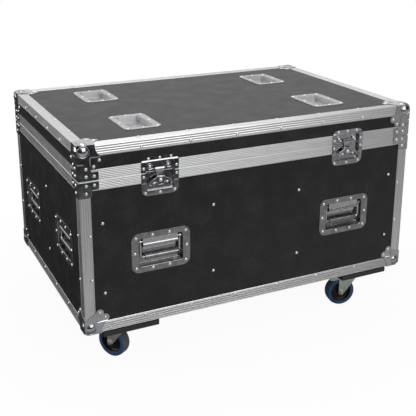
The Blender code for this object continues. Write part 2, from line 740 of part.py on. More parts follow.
def ball_corner():
    """Ball with three stepped, eared faces, at a bottom corner of the case."""
    bm = bmesh.new()
    flat = shift(-TOUCH_GAP, -TOUCH_GAP, -TOUCH_GAP)
    down = Matrix(((0, 1, 0, 0), (1, 0, 0, 0), (0, 0, -1, 0), (0, 0, 0, 1)))
    for turned_by in (0.0, 120.0, 240.0):
        place = flat @ turn(turned_by, Vector((1.0, 1.0, 1.0))) @ down
        part = bpy.data.meshes.new("face")
        face = stepped_face(place)
        face.to_mesh(part)
        face.free()
        bm.from_mesh(part)
        bpy.data.meshes.remove(part)
    bmesh.ops.remove_doubles(bm, verts=bm.verts, dist=TOUCH_GAP / 3)
    faces = sheet(bm, CORNER_SHEET, outwards=True)
    ball = bmesh.new()
    aim = Vector((1.0, 1.0, 1.0)).to_track_quat("Z", "Y").to_matrix().to_4x4()
    centre = Matrix.Translation(Vector((1.0, 1.0, 1.0)) * BALL_CENTRE_INSET)
    bmesh.ops.create_uvsphere(ball, u_segments=BALL_SEGMENTS, v_segments=BALL_RINGS,
                              radius=BALL_RADIUS, matrix=centre @ aim)
    inside = ANGLE_WALL + TOUCH_GAP / 2
    block = box((inside,) * 3, (4 * BALL_RADIUS,) * 3)
    block = cut(block, Vector((1.0, 1.0, 1.0)) * BALL_INNER_SUM / 3, (1.0, 1.0, 1.0))
    cap = boolean(to_mesh(ball), block, "DIFFERENCE")
    return boolean(faces, cap, "UNION")


def at_corners(mesh, z, flipped=False):
    return combined([(mesh, corner_frame(x, y, degrees, z, flipped)) for x, y, degrees in CORNERS])


def open_outline(half, drop, radius):
    """Outline that is open at the seam: down one side, round two corners and up the other."""
    left = arc((-half + radius, -drop + radius), radius, 180.0, 270.0, ROUND_STEPS)
    right = arc((half - radius, -drop + radius), radius, 270.0, 360.0, ROUND_STEPS)
    return [(-half, -TOUCH_GAP)] + left + right + [(half, -TOUCH_GAP)]


def latch_tray(drop, pocket_drop, rim_height):
    """Latch plate with its pocket, open at the seam and stepped from the edging to the panel."""
    bm = bmesh.new()
    loft(bm, [lifted(open_outline(LATCH_WIDTH / 2, drop, LATCH_CORNER), 0.0),
              lifted(open_outline(LATCH_POCKET_WIDTH / 2, pocket_drop, LATCH_POCKET_CORNER), 0.0),
              lifted(open_outline(LATCH_POCKET_WIDTH / 2 - DISH_DRAFT / 2, pocket_drop - DISH_DRAFT / 2,
                                  LATCH_POCKET_CORNER), -LATCH_POCKET_DEPTH)], closed=False)
    below = -rim_height - TOUCH_GAP
    for depth in (below, below - LATCH_STEP_RUN):
        upper = [f for f in bm.faces if all(v.co.z > -TOUCH_GAP for v in f.verts)]
        parts = set(upper)
        for face in upper:
            parts.update(face.edges)
            parts.update(face.verts)
        bmesh.ops.bisect_plane(bm, geom=list(parts), plane_co=(0.0, depth, 0.0), plane_no=(0.0, 1.0, 0.0))
    for vert in bm.verts:
        if vert.co.z > -TOUCH_GAP and vert.co.y < below - LATCH_STEP_RUN / 2:
            vert.co.z -= PANEL_INSET
    return sheet(bm, DISH_SHEET)


def latch_frame(side):
    return face_frame("front", side * LATCH_FROM_CENTRE, SEAM_Z)


def tray_level():
    """The plate's outer face lies its own thickness and a gap outside the edging."""
    return TOUCH_GAP + DISH_SHEET


def latch_dish():
    """Latch plate on the base, with the pocket that the cam and the hook work in."""
    tray = latch_tray(LATCH_DROP, LATCH_POCKET_DROP, BASE_RIM_HEIGHT)
    return combined([(tray, shift(z=tray_level()))])


def pocket_floor():
    return tray_level() - LATCH_POCKET_DEPTH


def latch_keeper():
    """Keeper plate on the lid with two bosses and the catch that the hook draws down."""
    tray = latch_tray(KEEPER_RISE, KEEPER_POCKET_RISE, LID_RIM_HEIGHT)
    floor = pocket_floor() - TOUCH_GAP
    up = shift(y=TOUCH_GAP) @ shift(z=tray_level()) @ turn(180.0, "Z")
    boss = turned([(BOSS_PIN_RADIUS, floor), (BOSS_PIN_RADIUS, floor + BOSS_HEIGHT / 2),
                   (BOSS_RADIUS - BOSS_HEIGHT / 2, floor + BOSS_HEIGHT), (BOSS_RADIUS, floor)], ROD_SIDES)
    catch = box((-CATCH_HALF_WIDTH, CATCH_LOW, floor), (CATCH_HALF_WIDTH, CATCH_HIGH, floor + CATCH_THICKNESS))
    parts = [(catch, shift())] + [(boss, shift(side * BOSS_OUT, BOSS_UP)) for side in (-1, 1)]
    return boolean(combined([(tray, up)]), combined(parts), "UNION")


def cam_level():
    """Underside of the cam's disc, just outside the hook plate that runs under it."""
    return pocket_floor() + HOOK_THICKNESS + 3 * TOUCH_GAP


def latch_cam():
    """Cam disc on its spindle, with the knuckle that carries the wing's pin."""
    disc = cylinder(CAM_RADIUS, cam_level(), cam_level() + CAM_THICKNESS, 16)
    spindle = cylinder(SPINDLE_RADIUS, pocket_floor() + TOUCH_GAP, cam_level() + CAM_THICKNESS / 2, 10)
    ear_top = arc((0.0, WING_PIVOT_OUT), KNUCKLE_RADIUS, 0.0, 180.0, ROUND_STEPS)
    foot = cam_level() + CAM_THICKNESS / 2
    outline = [(KNUCKLE_RADIUS, foot)] + ear_top + [(-KNUCKLE_RADIUS, foot)]
    knuckle = extruded(outline, Vector((KNUCKLE_WIDTH, 0.0, 0.0)),
                       lambda a, b: Vector((-KNUCKLE_WIDTH / 2, WING_PIVOT_UP + a, b)))
    bore = combined([(cylinder(WING_PIN_RADIUS + TOUCH_GAP, -KNUCKLE_WIDTH, KNUCKLE_WIDTH),
                      shift(y=WING_PIVOT_UP, z=WING_PIVOT_OUT) @ turn(90.0, "Y"))])
    body = boolean(boolean(disc, spindle, "UNION"), knuckle, "UNION")
    return combined([(boolean(body, bore, "DIFFERENCE"), shift(y=-CAM_DROP))])


def wing_outline():
    """Outline of the wing about its pin, from the shares of its half span and its fall."""
    top = KNUCKLE_RADIUS + WING_PIN_RADIUS
    right = [(WING_HALF_SPAN * u, top - WING_FALL * v) for u, v in WING_OUTLINE_SHARES]
    return right + [(-x, y) for x, y in right[::-1]]


def latch_wing():
    """Butterfly wing, flat on the latch, with the pin that it folds out on."""
    half = KNUCKLE_WIDTH / 2 + 2 * TOUCH_GAP
    window = KNUCKLE_RADIUS + 3 * TOUCH_GAP
    shape = plate([wing_outline()], WING_THICKNESS)
    gap = box((-half, -window, -WING_THICKNESS), (half, 2 * window, WING_THICKNESS))
    pin = combined([(cylinder(WING_PIN_RADIUS, -WING_PIN_LENGTH / 2, WING_PIN_LENGTH / 2), turn(90.0, "Y"))])
    return boolean(boolean(shape, gap, "DIFFERENCE"), pin, "UNION")


def latch_hook():
    """Hook plate: runs under the cam, steps out over the seam and ends in a turned-out nose."""
    low = pocket_floor() + TOUCH_GAP
    high = low + HOOK_THICKNESS
    out = low + CATCH_THICKNESS + 2 * TOUCH_GAP
    over = out + HOOK_THICKNESS
    step = -CAM_DROP + CAM_RADIUS + TOUCH_GAP
    nose = HOOK_TOP - HOOK_THICKNESS
    outline = [(-HOOK_BOTTOM_DROP, low), (step + HOOK_THICKNESS, low), (step + 2 * HOOK_THICKNESS, out), (HOOK_TOP, out)]
    outline += [(HOOK_TOP, over + HOOK_NOSE_DEPTH), (nose, over + HOOK_NOSE_DEPTH), (nose, over)]
    outline += [(step + HOOK_THICKNESS, over), (step, high), (-HOOK_BOTTOM_DROP, high)]
    strip = extruded(outline, Vector((2 * HOOK_NOSE_HALF_WIDTH, 0.0, 0.0)),
                     lambda a, b: Vector((-HOOK_NOSE_HALF_WIDTH, a, b)))
    for side in (-1, 1):
        strip = cut(strip, (side * HOOK_HALF_WIDTH, CATCH_LOW, 0.0), hook_side_normal(side))
    slot_half = SPINDLE_RADIUS + TOUCH_GAP
    slot = rounded_rectangle(2 * slot_half, 2 * slot_half + HOOK_TRAVEL, slot_half,
                             (0.0, -CAM_DROP - HOOK_TRAVEL / 2), 3)
    cutter = combined([(plate([slot], 4 * HOOK_THICKNESS), shift(z=low))])
    return boolean(strip, cutter, "DIFFERENCE")


def hook_side_normal(side):
    """Direction into the hook from its side, which widens from the seam to the nose."""
    along = Vector((side * (HOOK_NOSE_HALF_WIDTH - HOOK_HALF_WIDTH), HOOK_TOP - CATCH_LOW, 0.0))
    return Vector((-side * along.y, side * along.x, 0.0))


def hinge_leaf(above):
    """Hinge leaf with its barrel; the base's has two outer knuckles and the pin, the lid's one knuckle."""
    third = HINGE_LENGTH / 3
    outer = ((-HINGE_LENGTH / 2, -third / 2), (third / 2, HINGE_LENGTH / 2))
    inner = ((-third / 2, third / 2),)
    own, others = (inner, outer) if above else (outer, inner)
    to_axis = shift(z=HINGE_OUT) @ turn(90.0, "Y")
    leaf = box((-HINGE_LENGTH / 2, HINGE_BARREL_RADIUS / 2, -TOUCH_GAP), (HINGE_LENGTH / 2, HINGE_LEAF, HINGE_SHEET))
    for start, end in own:
        barrel = cylinder(HINGE_BARREL_RADIUS, start + HINGE_PLAY, end - HINGE_PLAY, HINGE_SIDES)
        leaf = boolean(leaf, combined([(barrel, to_axis)]), "UNION")
    reach = HINGE_BARREL_RADIUS + 2 * HINGE_PLAY
    for start, end in others:
        gap = box((start - HINGE_PLAY, -reach, -HINGE_SHEET), (end + HINGE_PLAY, reach, HINGE_OUT + reach))
        leaf = boolean(leaf, gap, "DIFFERENCE")
    if above:
        bore = combined([(cylinder(HINGE_PIN_RADIUS + HINGE_PLAY, -HINGE_LENGTH, HINGE_LENGTH, HINGE_SIDES), to_axis)])
        return boolean(leaf, bore, "DIFFERENCE")
    pin = combined([(cylinder(HINGE_PIN_RADIUS, -third, third, HINGE_SIDES), to_axis)])
    return combined([(boolean(leaf, pin, "UNION"), turn(180.0, "Z"))])


def at_hinges(mesh):
    places = [face_frame("back", number * HINGE_SPACING, HINGE_Z) for number in (-1, 0, 1)]
    return combined([(mesh, place) for place in places])


def edging(strips, rim, fittings):
    """One body of a box's edging, joined by the pressed fittings that are riveted over its joints."""
    body = combined([(mesh, shift()) for mesh in strips + [rim]])
    for fitting in fittings:
        body = boolean(body, fitting, "UNION", "MANIFOLD")
    return body


def board_places():
    """Middle of each castor board, with the case's corner that it belongs to."""
    x = CASE_WIDTH / 2 - BOARD_SIDE_INSET - BOARD_WIDTH / 2
    y = CASE_DEPTH / 2 - BOARD_FRONT_INSET - BOARD_DEPTH / 2
    return {"front_left": (-x, -y), "front_right": (x, -y), "back_left": (-x, y), "back_right": (x, y)}


def castor_board():
    """Plywood board under the case, against the corner's plate, with its lower edges broken."""
    top = BODY_Z - BOARD_STAND_OFF
    bm = bmesh.new()
    bm.from_mesh(box((-BOARD_WIDTH / 2, -BOARD_DEPTH / 2, top - BOARD_THICKNESS),
                     (BOARD_WIDTH / 2, BOARD_DEPTH / 2, top)))
    bmesh.ops.bevel(bm, geom=[e for e in bm.edges if all(v.co.z < top - TOUCH_GAP for v in e.verts)],
                    offset=BOARD_EDGE, segments=1, profile=0.5, affect="EDGES")
    return to_mesh(bm)


def castor_top_plate():
    """Top plate of a castor with the fixed cup of its ball race."""
    top = CASTOR_HEIGHT - TOUCH_GAP
    flat = combined([(plate([rounded_rectangle(PLATE_LENGTH, PLATE_WIDTH, PLATE_CORNER, steps=2)], PLATE_THICKNESS),
                      shift(z=top - PLATE_THICKNESS / 2))])
    low = top - PLATE_THICKNESS - RACE_THICKNESS
    bm = bmesh.new()
    bmesh.ops.create_cone(bm, cap_ends=True, segments=RACE_STEPS, radius1=HEAD_RADIUS, radius2=RACE_RADIUS,
                          depth=RACE_THICKNESS + PLATE_THICKNESS / 2,
                          matrix=shift(z=(low + top - PLATE_THICKNESS / 2) / 2))
    return boolean(flat, to_mesh(bm), "UNION")


def fork_outline():
    """Side view of the fork: along the trail, height above the floor."""
    rear = CASTOR_TRAIL + FORK_EYE_RADIUS
    eye = arc((CASTOR_TRAIL, WHEEL_RADIUS), FORK_EYE_RADIUS, 0.0, -125.0, 5)
    return [(rear, FORK_CROWN_TOP)] + eye + [(-FORK_CROWN_FRONT, FORK_CROWN_TOP - FORK_SHEET), (-FORK_CROWN_FRONT, FORK_CROWN_TOP)]


def castor_fork():
    """Pressed fork with its swivel head and the axle bolt through its two legs."""
    inner = TYRE_WIDTH / 2 + FORK_PLAY
    outer = inner + FORK_SHEET
    body = extruded(fork_outline(), Vector((0.0, 2 * outer, 0.0)), lambda a, b: Vector((a, -outer, b)))
    hollow = box((-CASTOR_TRAIL - WHEEL_RADIUS, -inner, 0.0),
                 (CASTOR_TRAIL + 2 * WHEEL_RADIUS, inner, FORK_CROWN_TOP - FORK_SHEET))
    body = boolean(body, hollow, "DIFFERENCE")
    head_top = CASTOR_HEIGHT - 2 * TOUCH_GAP - PLATE_THICKNESS - RACE_THICKNESS
    head = turned([(0.0, head_top), (HEAD_RADIUS - FORK_SHEET, head_top), (HEAD_RADIUS, head_top - FORK_SHEET),
                   (HEAD_RADIUS - FORK_SHEET, FORK_CROWN_TOP - FORK_SHEET / 2), (0.0, FORK_CROWN_TOP - FORK_SHEET / 2)], RACE_STEPS)
    body = boolean(body, head, "UNION")
    across = shift(CASTOR_TRAIL, 0.0, WHEEL_RADIUS) @ turn(90.0, "X")
    axle = combined([(cylinder(AXLE_RADIUS, -outer - AXLE_HEAD / 2, outer + AXLE_HEAD / 2), across)])
    body = boolean(body, axle, "UNION")
    for side in (-1, 1):
        low, high = sorted((side * (outer - FORK_SHEET / 2), side * (outer + AXLE_HEAD)))
        body = boolean(body, combined([(cylinder(AXLE_HEAD_RADIUS, low, high, 6), across)]), "UNION")
    return body


def wheel_frame():
    return shift(CASTOR_TRAIL, 0.0, WHEEL_RADIUS) @ turn(90.0, "X")


def castor_wheel():
    """Wheel turned about its axle, its tyre moulded on; one of its flats stands on the floor."""
    bore = AXLE_RADIUS + AXLE_PLAY
    rim = WHEEL_RADIUS - TYRE_DEPTH
    boss = TYRE_WIDTH / 2 + FORK_PLAY - AXLE_PLAY
    half = TYRE_WIDTH / 2
    tread = WHEEL_RADIUS / math.cos(math.pi / WHEEL_STEPS)
    side = [(bore, boss), (HUB_BOSS_RADIUS, boss), (HUB_BOSS_RADIUS, HUB_WEB / 2), (rim - HUB_RIM, HUB_WEB / 2),
            (rim - HUB_RIM, half), (tread - TYRE_SHOULDER, half), (tread, half - TYRE_SHOULDER)]
    profile = side + [(radius, -height) for radius, height in side[::-1]]
    flat_down = math.fmod(270.0 - 180.0 / WHEEL_STEPS, 360.0 / WHEEL_STEPS)
    return combined([(turned(profile, WHEEL_STEPS), wheel_frame() @ turn(flat_down, "Z"))])


def pedal_pivot():
    """Place of the pedal's pin behind the fork's crown: along the trail, height."""
    return (CASTOR_TRAIL + FORK_EYE_RADIUS + PEDAL_EYE_RADIUS + PEDAL_REACH, FORK_CROWN_TOP - PEDAL_EYE_RADIUS)


def brake_pedal():
    """Foot plate of the wheel brake, curved down at its free end, on its eye."""
    along, up = pedal_pivot()
    end = along + PEDAL_LENGTH
    low = up - PEDAL_THICKNESS / 2
    outline = [(along, low), (end - PEDAL_LIP, low - PEDAL_DROP / 2), (end, low - PEDAL_DROP)]
    outline += [(end + PEDAL_THICKNESS, low - PEDAL_DROP + PEDAL_THICKNESS / 2)]
    outline += [(end - PEDAL_LIP / 2, low - PEDAL_DROP / 2 + PEDAL_THICKNESS), (along, low + PEDAL_THICKNESS)]
    tread = extruded(outline, Vector((0.0, PEDAL_WIDTH, 0.0)), lambda a, b: Vector((a, -PEDAL_WIDTH / 2, b)))
    eye = combined([(cylinder(PEDAL_EYE_RADIUS, -PEDAL_WIDTH / 2, PEDAL_WIDTH / 2, 10),
                     shift(along, 0.0, up) @ turn(90.0, "X"))])
    return boolean(tread, eye, "UNION")


def castor_turn(name):
    """Swivel of a castor as it stands: the trail points to the left of the case at zero."""
    degrees = {"front_left": TURN_FRONT_LEFT, "front_right": TURN_FRONT_RIGHT,
               "back_left": TURN_BACK_LEFT, "back_right": TURN_BACK_RIGHT}[name]
    return turn(180.0 + degrees, "Z")


def build_base():
    """Everything that is fixed to the lower box."""
    for face in FACE_TURNS:
        node(f"base_{face}_panel", base_wall(face), LAMINATE)
    node("base_floor_panel", base_floor(), LAMINATE)
    posts = corner_posts(BODY_Z + STRIP_END, SEAM_Z - BASE_RIM_HEIGHT - TOUCH_GAP)
    fittings = [at_corners(ball_corner(), BODY_Z), at_corners(brace(), SEAM_Z, flipped=True),
                at_hinges(hinge_leaf(False))]
    frame = edging([horizontal_strips(BODY_Z, 1.0), posts], rim_ring(base_rim_profile()), fittings)
    node("base_edging", frame, ALUMINIUM)
    tray = latch_dish()
    for name, side in (("left", -1), ("right", 1)):
        node(f"latch_{name}_dish", combined([(tray, latch_frame(side))]), CHROME)


def build_dividers():
    """Two walls across the case and one along it, halved into each other."""
    low = BODY_Z + WALL_INNER
    high = SEAM_Z - DIVIDER_TOP_DROP
    middle = (low + high) / 2
    half_depth = CASE_DEPTH / 2 - WALL_INNER
    half_width = CASE_WIDTH / 2 - WALL_INNER
    slot = DIVIDER_THICKNESS / 2 + TOUCH_GAP
    cross = [(-half_depth, low), (half_depth, low), (half_depth, high), (slot, high), (slot, middle),
             (-slot, middle), (-slot, high), (-half_depth, high)]
    for name, side in (("left", -1), ("right", 1)):
        place = shift(x=side * CROSS_DIVIDER_X) @ turn(90.0, "Z") @ turn(90.0, "X")
        node(f"cross_divider_{name}", combined([(plate([cross], DIVIDER_THICKNESS), place)]), BIRCH)
    top = middle + TOUCH_GAP
    length = [(-half_width, low)]
    for x in (-CROSS_DIVIDER_X, CROSS_DIVIDER_X):
        length += [(x - slot, low), (x - slot, top), (x + slot, top), (x + slot, low)]
    length += [(half_width, low), (half_width, high), (-half_width, high)]
    node("long_divider", combined([(plate([length], DIVIDER_THICKNESS), turn(90.0, "X"))]), BIRCH)


def build_lid():
    """Everything that turns with the lid, on an axis through the hinge pins."""
    pivot = (0.0, CASE_DEPTH / 2 + HINGE_OUT, HINGE_Z)
    hinge = axis_empty("lid_hinge_axis", pivot)
    node("lid_top_panel", lid_top(), LAMINATE, pivot, hinge)
    node("lid_wall_ring", lid_walls(), LAMINATE, pivot, hinge)
    posts = corner_posts(SEAM_Z + LID_RIM_HEIGHT + TOUCH_GAP, TOP_Z - STRIP_END)
    fittings = [at_corners(ball_corner(), TOP_Z, flipped=True), at_corners(brace(), SEAM_Z),
                at_hinges(hinge_leaf(True))]
    frame = edging([horizontal_strips(TOP_Z, -1.0), posts], rim_ring(lid_rim_profile()), fittings)
    node("lid_edging", frame, ALUMINIUM, pivot, hinge)
    cup = castor_cup()
    for name, (x, y) in cup_places().items():
        node(f"lid_castor_dish_{name}", combined([(cup, shift(x, y, TOP_Z + DISH_FACE))]), CHROME, pivot, hinge)
    keeper = latch_keeper()
    for name, side in (("left", -1), ("right", 1)):
        node(f"latch_{name}_keeper", combined([(keeper, latch_frame(side))]), CHROME, pivot, hinge)


def build_latches():
    """Turning cam, sliding hook and folding wing of each latch."""
    cam, hook, wing = latch_cam(), latch_hook(), latch_wing()
    for name, side in (("left", -1), ("right", 1)):
        frame = latch_frame(side)
        centre = frame @ Vector((0.0, -CAM_DROP, 0.0))
        axis = axis_empty(f"latch_{name}_axis", centre)
        node(f"latch_{name}_cam", combined([(cam, frame)]), CHROME, centre, axis)
        node(f"latch_{name}_hook", combined([(hook, frame)]), ZINC, centre)
        pin = frame @ shift(0.0, WING_PIVOT_UP - CAM_DROP, WING_PIVOT_OUT)
        node(f"latch_{name}_wing", combined([(wing, pin)]), CHROME, pin.to_translation(), axis)


def build_handles():
    """Eight pressed dishes, each with a sprung bail on its own pivot rod."""
    dish_mesh, bail_mesh = handle_dish(), bail()
    for face, sides in HANDLE_SIDES.items():
        for name, across in zip(sides, handle_places(face)):
            frame = face_frame(face, across, BODY_Z + HANDLE_HEIGHT)
            node(f"handle_dish_{face}_{name}", combined([(dish_mesh, frame @ shift(z=DISH_FACE))]), CHROME)
            pivot = frame @ shift(0.0, BAIL_PIVOT_UP, -BAIL_SETBACK)
            node(f"handle_bail_{face}_{name}", combined([(bail_mesh, pivot)]), CHROME, pivot.to_translation())


def build_castors():
    """Board and top plate of each castor, its fork and wheel, and the brakes on the right."""
    board, top = castor_board(), castor_top_plate()
    fork, wheel, pedal = castor_fork(), castor_wheel(), brake_pedal()
    along, up = pedal_pivot()
    for name, (x, y) in board_places().items():
        node(f"castor_board_{name}", combined([(board, shift(x, y))]), PLYWOOD)
        node(f"castor_plate_{name}", combined([(top, shift(x, y))]), ZINC)
        frame = shift(x, y) @ castor_turn(name)
        swivel = axis_empty(f"castor_{name}_swivel", (x, y, 0.0))
        axle = frame @ Vector((CASTOR_TRAIL, 0.0, WHEEL_RADIUS))
        node(f"castor_fork_{name}", combined([(fork, frame)]), ZINC, (x, y, 0.0), swivel)
        node(f"castor_wheel_{name}", combined([(wheel, frame)]), BLUE_RUBBER, axle, swivel)
        if name.endswith("right"):
            pivot = frame @ Vector((along, 0.0, up))
            node(f"castor_brake_{name}", combined([(pedal, frame)]), ZINC, pivot, swivel)


build_base()
build_dividers()
build_lid()
build_latches()
build_handles()
build_castors()

for piece in case.objects:
    if piece.type == "MESH":
        piece.data.shade_smooth()
        piece.data.set_sharp_from_angle(angle=math.radians(30.0))
for scrap in [mesh for mesh in bpy.data.meshes if mesh.users == 0]:
    bpy.data.meshes.remove(scrap)
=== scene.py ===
"""Looks of the lighting flight case: finer pressed, turned and extruded pieces, rivets, finishes and light."""
import math

import bmesh
import bpy
from mathutils import Matrix, Vector


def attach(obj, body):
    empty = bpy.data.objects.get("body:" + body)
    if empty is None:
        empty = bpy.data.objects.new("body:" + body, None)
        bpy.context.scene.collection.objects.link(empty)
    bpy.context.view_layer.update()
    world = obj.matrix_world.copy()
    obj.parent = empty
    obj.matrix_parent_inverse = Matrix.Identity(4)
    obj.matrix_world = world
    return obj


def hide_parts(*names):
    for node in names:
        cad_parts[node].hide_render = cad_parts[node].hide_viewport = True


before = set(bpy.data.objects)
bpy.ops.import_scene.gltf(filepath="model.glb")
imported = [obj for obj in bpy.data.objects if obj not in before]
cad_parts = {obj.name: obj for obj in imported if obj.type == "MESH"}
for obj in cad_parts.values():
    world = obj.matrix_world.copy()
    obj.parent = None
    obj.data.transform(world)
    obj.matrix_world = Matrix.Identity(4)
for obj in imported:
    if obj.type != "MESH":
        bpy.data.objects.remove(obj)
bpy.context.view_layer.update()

# Whole case over the faces of its edging, as in the solids
CASE_WIDTH, CASE_DEPTH = 1.190, 0.800
BODY_Z, SEAM_Z, TOP_Z = 0.1591, 0.6531, 0.7611
GAP, OVERRUN = 0.0003, 0.01
PANEL_DEPTH, WALL_INNER, SHEET = 0.0021, 0.0114, 0.0013
# Widths of broken edges, from a pin's end to a fork's leg
EDGE_FINE, EDGE_SHEET, EDGE_PLATE, EDGE_FOLD, EDGE_LEG = 0.0003, 0.0004, 0.0005, 0.0006, 0.0007
# Sharpest bend that shades smooth, smallest edge that is broken, and the same for a pressed step, in degrees
SMOOTH_ANGLE, SHARP_ANGLE, STEP_ANGLE = 32.0, 35.0, 24.0
# Least Z of the normal of a face that lies level
LEVEL = 0.9

# Extruded edging; the lip's profile is (back from the leg's end, sunk below its face)
LEG, LEG_WALL, LEG_ROUND = 0.035, 0.0018, 0.0016
LEG_RIBS, LEG_RIB_DEPTH, RIB_MARGIN = 4, 0.0012, 0.0003
LIP_WIDTH, LIP_PROFILE = 0.0038, ((0.0, 0.0014), (0.0008, 0.0007), (0.0020, 0.0002), (0.0034, 0.0))
RIB_SHARES = (0.03, 0.14, 0.32, 0.5, 0.68, 0.86, 0.97)
STRIP_END = LEG + GAP
BASE_RIM, LID_RIM, BASE_RIM_SHELF, LID_RIM_SHELF = 0.031, 0.0335, 0.003, 0.006
RIM_RIBS, RIM_RIB_DEPTH, RIM_MARGIN = 6, 0.0006, 0.0004
RIM_LIP, RIM_BREAK, RIM_INSIDE, RIM_DEPTH = 0.0014, 0.0008, 0.014, WALL_INNER + LEG_WALL
TONGUE_SETBACK, TONGUE_WIDTH, TONGUE_HEIGHT, TONGUE_PLAY = 0.0085, 0.003, 0.003, 0.0008
NOTCH_PLAY, NOTCH_BEHIND, NOTCH_REACH = 0.002, 0.0007, 0.06

# Pressed corners, braces and hinges
BALL_RADIUS, BALL_INSET, BALL_SHEET = 0.02475, 0.018, 0.0012
BEAD_OUT, BEAD_UP, BEAD_SETBACK, BEAD_SINK_SHARE = 0.0015, 0.0011, 0.0006, 0.2
CORNER_SHEET, CORNER_STEP, CORNER_WAIST, CORNER_FLARE, CORNER_MOUTH = 0.0015, 0.0032, 0.053, 0.022, 0.020
EAR_OUT, EAR_UP, EAR_RADIUS, EAR_ARC = 0.066, 0.048, 0.0125, (-75.0, 105.0)
BRACE_ARM, BRACE_ARM_HEIGHT, BRACE_FOOT = 0.0615, 0.028, 0.0020
BRACE_POST, BRACE_POST_HEIGHT = 0.039, 0.052
BRACE_HEAD_ROUND, BRACE_TIP_ROUND, BRACE_INNER_ROUND = 0.011, 0.003, 0.0025
HINGE_LENGTH, HINGE_LEAF, HINGE_RADIUS, HINGE_SPACING = 0.064, 0.026, 0.0028, 0.400
HINGE_SHEET, HINGE_SETBACK, HINGE_LAP, HINGE_PIN, HINGE_PIN_PROUD = 0.002, 0.0008, 0.0005, 0.0015, 0.0005
HINGE_OUT, HINGE_Z = HINGE_RADIUS + GAP, SEAM_Z + GAP / 2

# Rivets: head, flatter head, and the head's section in shares of its radius and height
RIVET_RADIUS, RIVET_HEIGHT, FLAT_RIVET = 0.0053, 0.0021, (0.0046, 0.0010)
RIVET_SHARES = ((0.0, 0.4), (0.28, 0.4), (0.42, 1.0), (0.68, 0.8), (0.92, 0.4), (1.0, 0.0), (0.0, 0.0))

# Handles and dishes; a dish's flange and mouth are width, height and corner radius
HANDLE_X, HANDLE_Y, HANDLE_UP = 0.341, 0.200, 0.2375
DISH_FACE, DISH_DRAFT, DISH_ROUND = -PANEL_DEPTH + GAP + SHEET, 0.004, 0.0022
HANDLE_FLANGE, HANDLE_MOUTH, HANDLE_RECESS = (0.196, 0.131, 0.024), (0.147, 0.092, 0.010), 0.022
CUP_FLANGE, CUP_MOUTH, CUP_RECESS, CUP_ROUND = (0.124, 0.1785, 0.020), (0.080, 0.142, 0.012), 0.025, 0.012
CUP_X, CUP_Y = 0.345, 0.1985
PIVOT_UP, GRIP_DOWN, BAIL_SETBACK = 0.033, 0.019, 0.0115
BAIL_WIRE, BAIL_LEG_OUT, BAIL_BEND, COLLAR_OUT = 0.00425, 0.0655, 0.009, 0.0660
# Lower halves of turned sections: (radius, height)
PIVOT_PROFILE = ((0.0, -0.0725), (0.0037, -0.0725), (BAIL_WIRE, -0.072))
COLLAR_PROFILE = ((0.0, -0.0045), (0.0050, -0.0045), (0.0063, -0.0030))
GRIP_PROFILE = ((0.0, -0.052), (0.0075, -0.052), (0.0085, -0.051), (0.0085, -0.047), (0.0076, -0.046))
# Spring cover: (up the handle, out of its face)
COVER_HALF, COVER_SHEET, COVER_HEAD = 0.058, 0.0010, ((0.0445, -0.0060), (0.0305, -0.0060))
COVER_ROLL, COVER_ROLL_RADIUS, COVER_ROLL_ARC = (0.0225, -0.0095), 0.0066, (32.0, 178.0)
COVER_LIP = (0.0156, -0.0190)
COVER_PLATE, COVER_PLATE_EDGE = ((-0.055, 0.0025, -0.0215), (0.055, 0.0375, -0.0185)), 0.0012
COVER_RIVET, COVER_RIVET_X, COVER_RIVET_UP, COVER_RIVET_OUT = (0.0034, 0.0012), 0.028, 0.0385, -0.0062

# Latches
LATCH_X, LATCH_WIDTH, LATCH_DROP, KEEPER_RISE, LATCH_CORNER = 0.341, 0.122, 0.074, 0.0485, 0.022
POCKET_WIDTH, POCKET_DROP, KEEPER_POCKET, POCKET_CORNER = 0.092, 0.058, 0.0345, 0.008
POCKET_DEPTH, POCKET_DRAFT = 0.0095, 0.001
LATCH_PARTING, LATCH_STEP = 0.0016, 0.0040
TRAY_LEVEL = GAP + SHEET
POCKET_FLOOR = TRAY_LEVEL - POCKET_DEPTH
CATCH_HALF, CATCH_FOOT, CATCH_HEAD, CATCH_THICK = 0.022, 0.0015, 0.008, 0.0024
BOSS_OUT, BOSS_UP, BOSS_PAD = 0.0295, 0.016, 0.0014
BOSS_PROFILE = ((0.0, 0.0), (0.0, BOSS_PAD), (0.0066, BOSS_PAD), (0.0074, 0.0036), (0.0088, 0.0040),
                (0.0098, 0.0028), (0.0098, 0.0))
CAM_DROP, CAM_RADIUS, CAM_THICK = 0.027, 0.0145, 0.0024
CAM_PROFILE = ((0.0, 0.0), (0.0141, 0.0), (CAM_RADIUS, 0.0004), (CAM_RADIUS, 0.0017), (0.0138, CAM_THICK),
               (0.0105, CAM_THICK), (0.0098, 0.0018), (0.0058, 0.0018), (0.005, 0.0035), (0.003, 0.0042),
               (0.0, 0.0044))
SPINDLE, SPINDLE_DEPTH = (0.008, 0.008, 0.0039), 0.006
KNUCKLE_RADIUS, KNUCKLE_WIDTH, WING_PIN, WING_PIN_LENGTH = 0.0032, 0.010, 0.0016, 0.026
HOOK_THICK, HOOK_TOP, HOOK_BOTTOM, HOOK_HALF, HOOK_NOSE_HALF = 0.002, 0.013, 0.042, 0.013, 0.0155
CROWN_BACK, CROWN_UP, CROWN_FOOT, HOOK_FLARE = 0.0052, 0.0034, 0.001, 0.0015
HOOK_SLOT, HOOK_SLOT_DROP, SLOT_BELOW, SLOT_CUT = (0.0086, 0.0146, 0.0042), 0.003, 0.002, 0.008
WING_UP, WING_OUT, WING_THICK, WING_SPAN, WING_FALL = 0.0115, 0.0043, 0.0024, 0.038, 0.030
WING_NOTCH, WING_NOTCH_FOOT, WING_ROLL, WING_SUNK = 0.0056, -0.0041, 0.0022, 0.0008
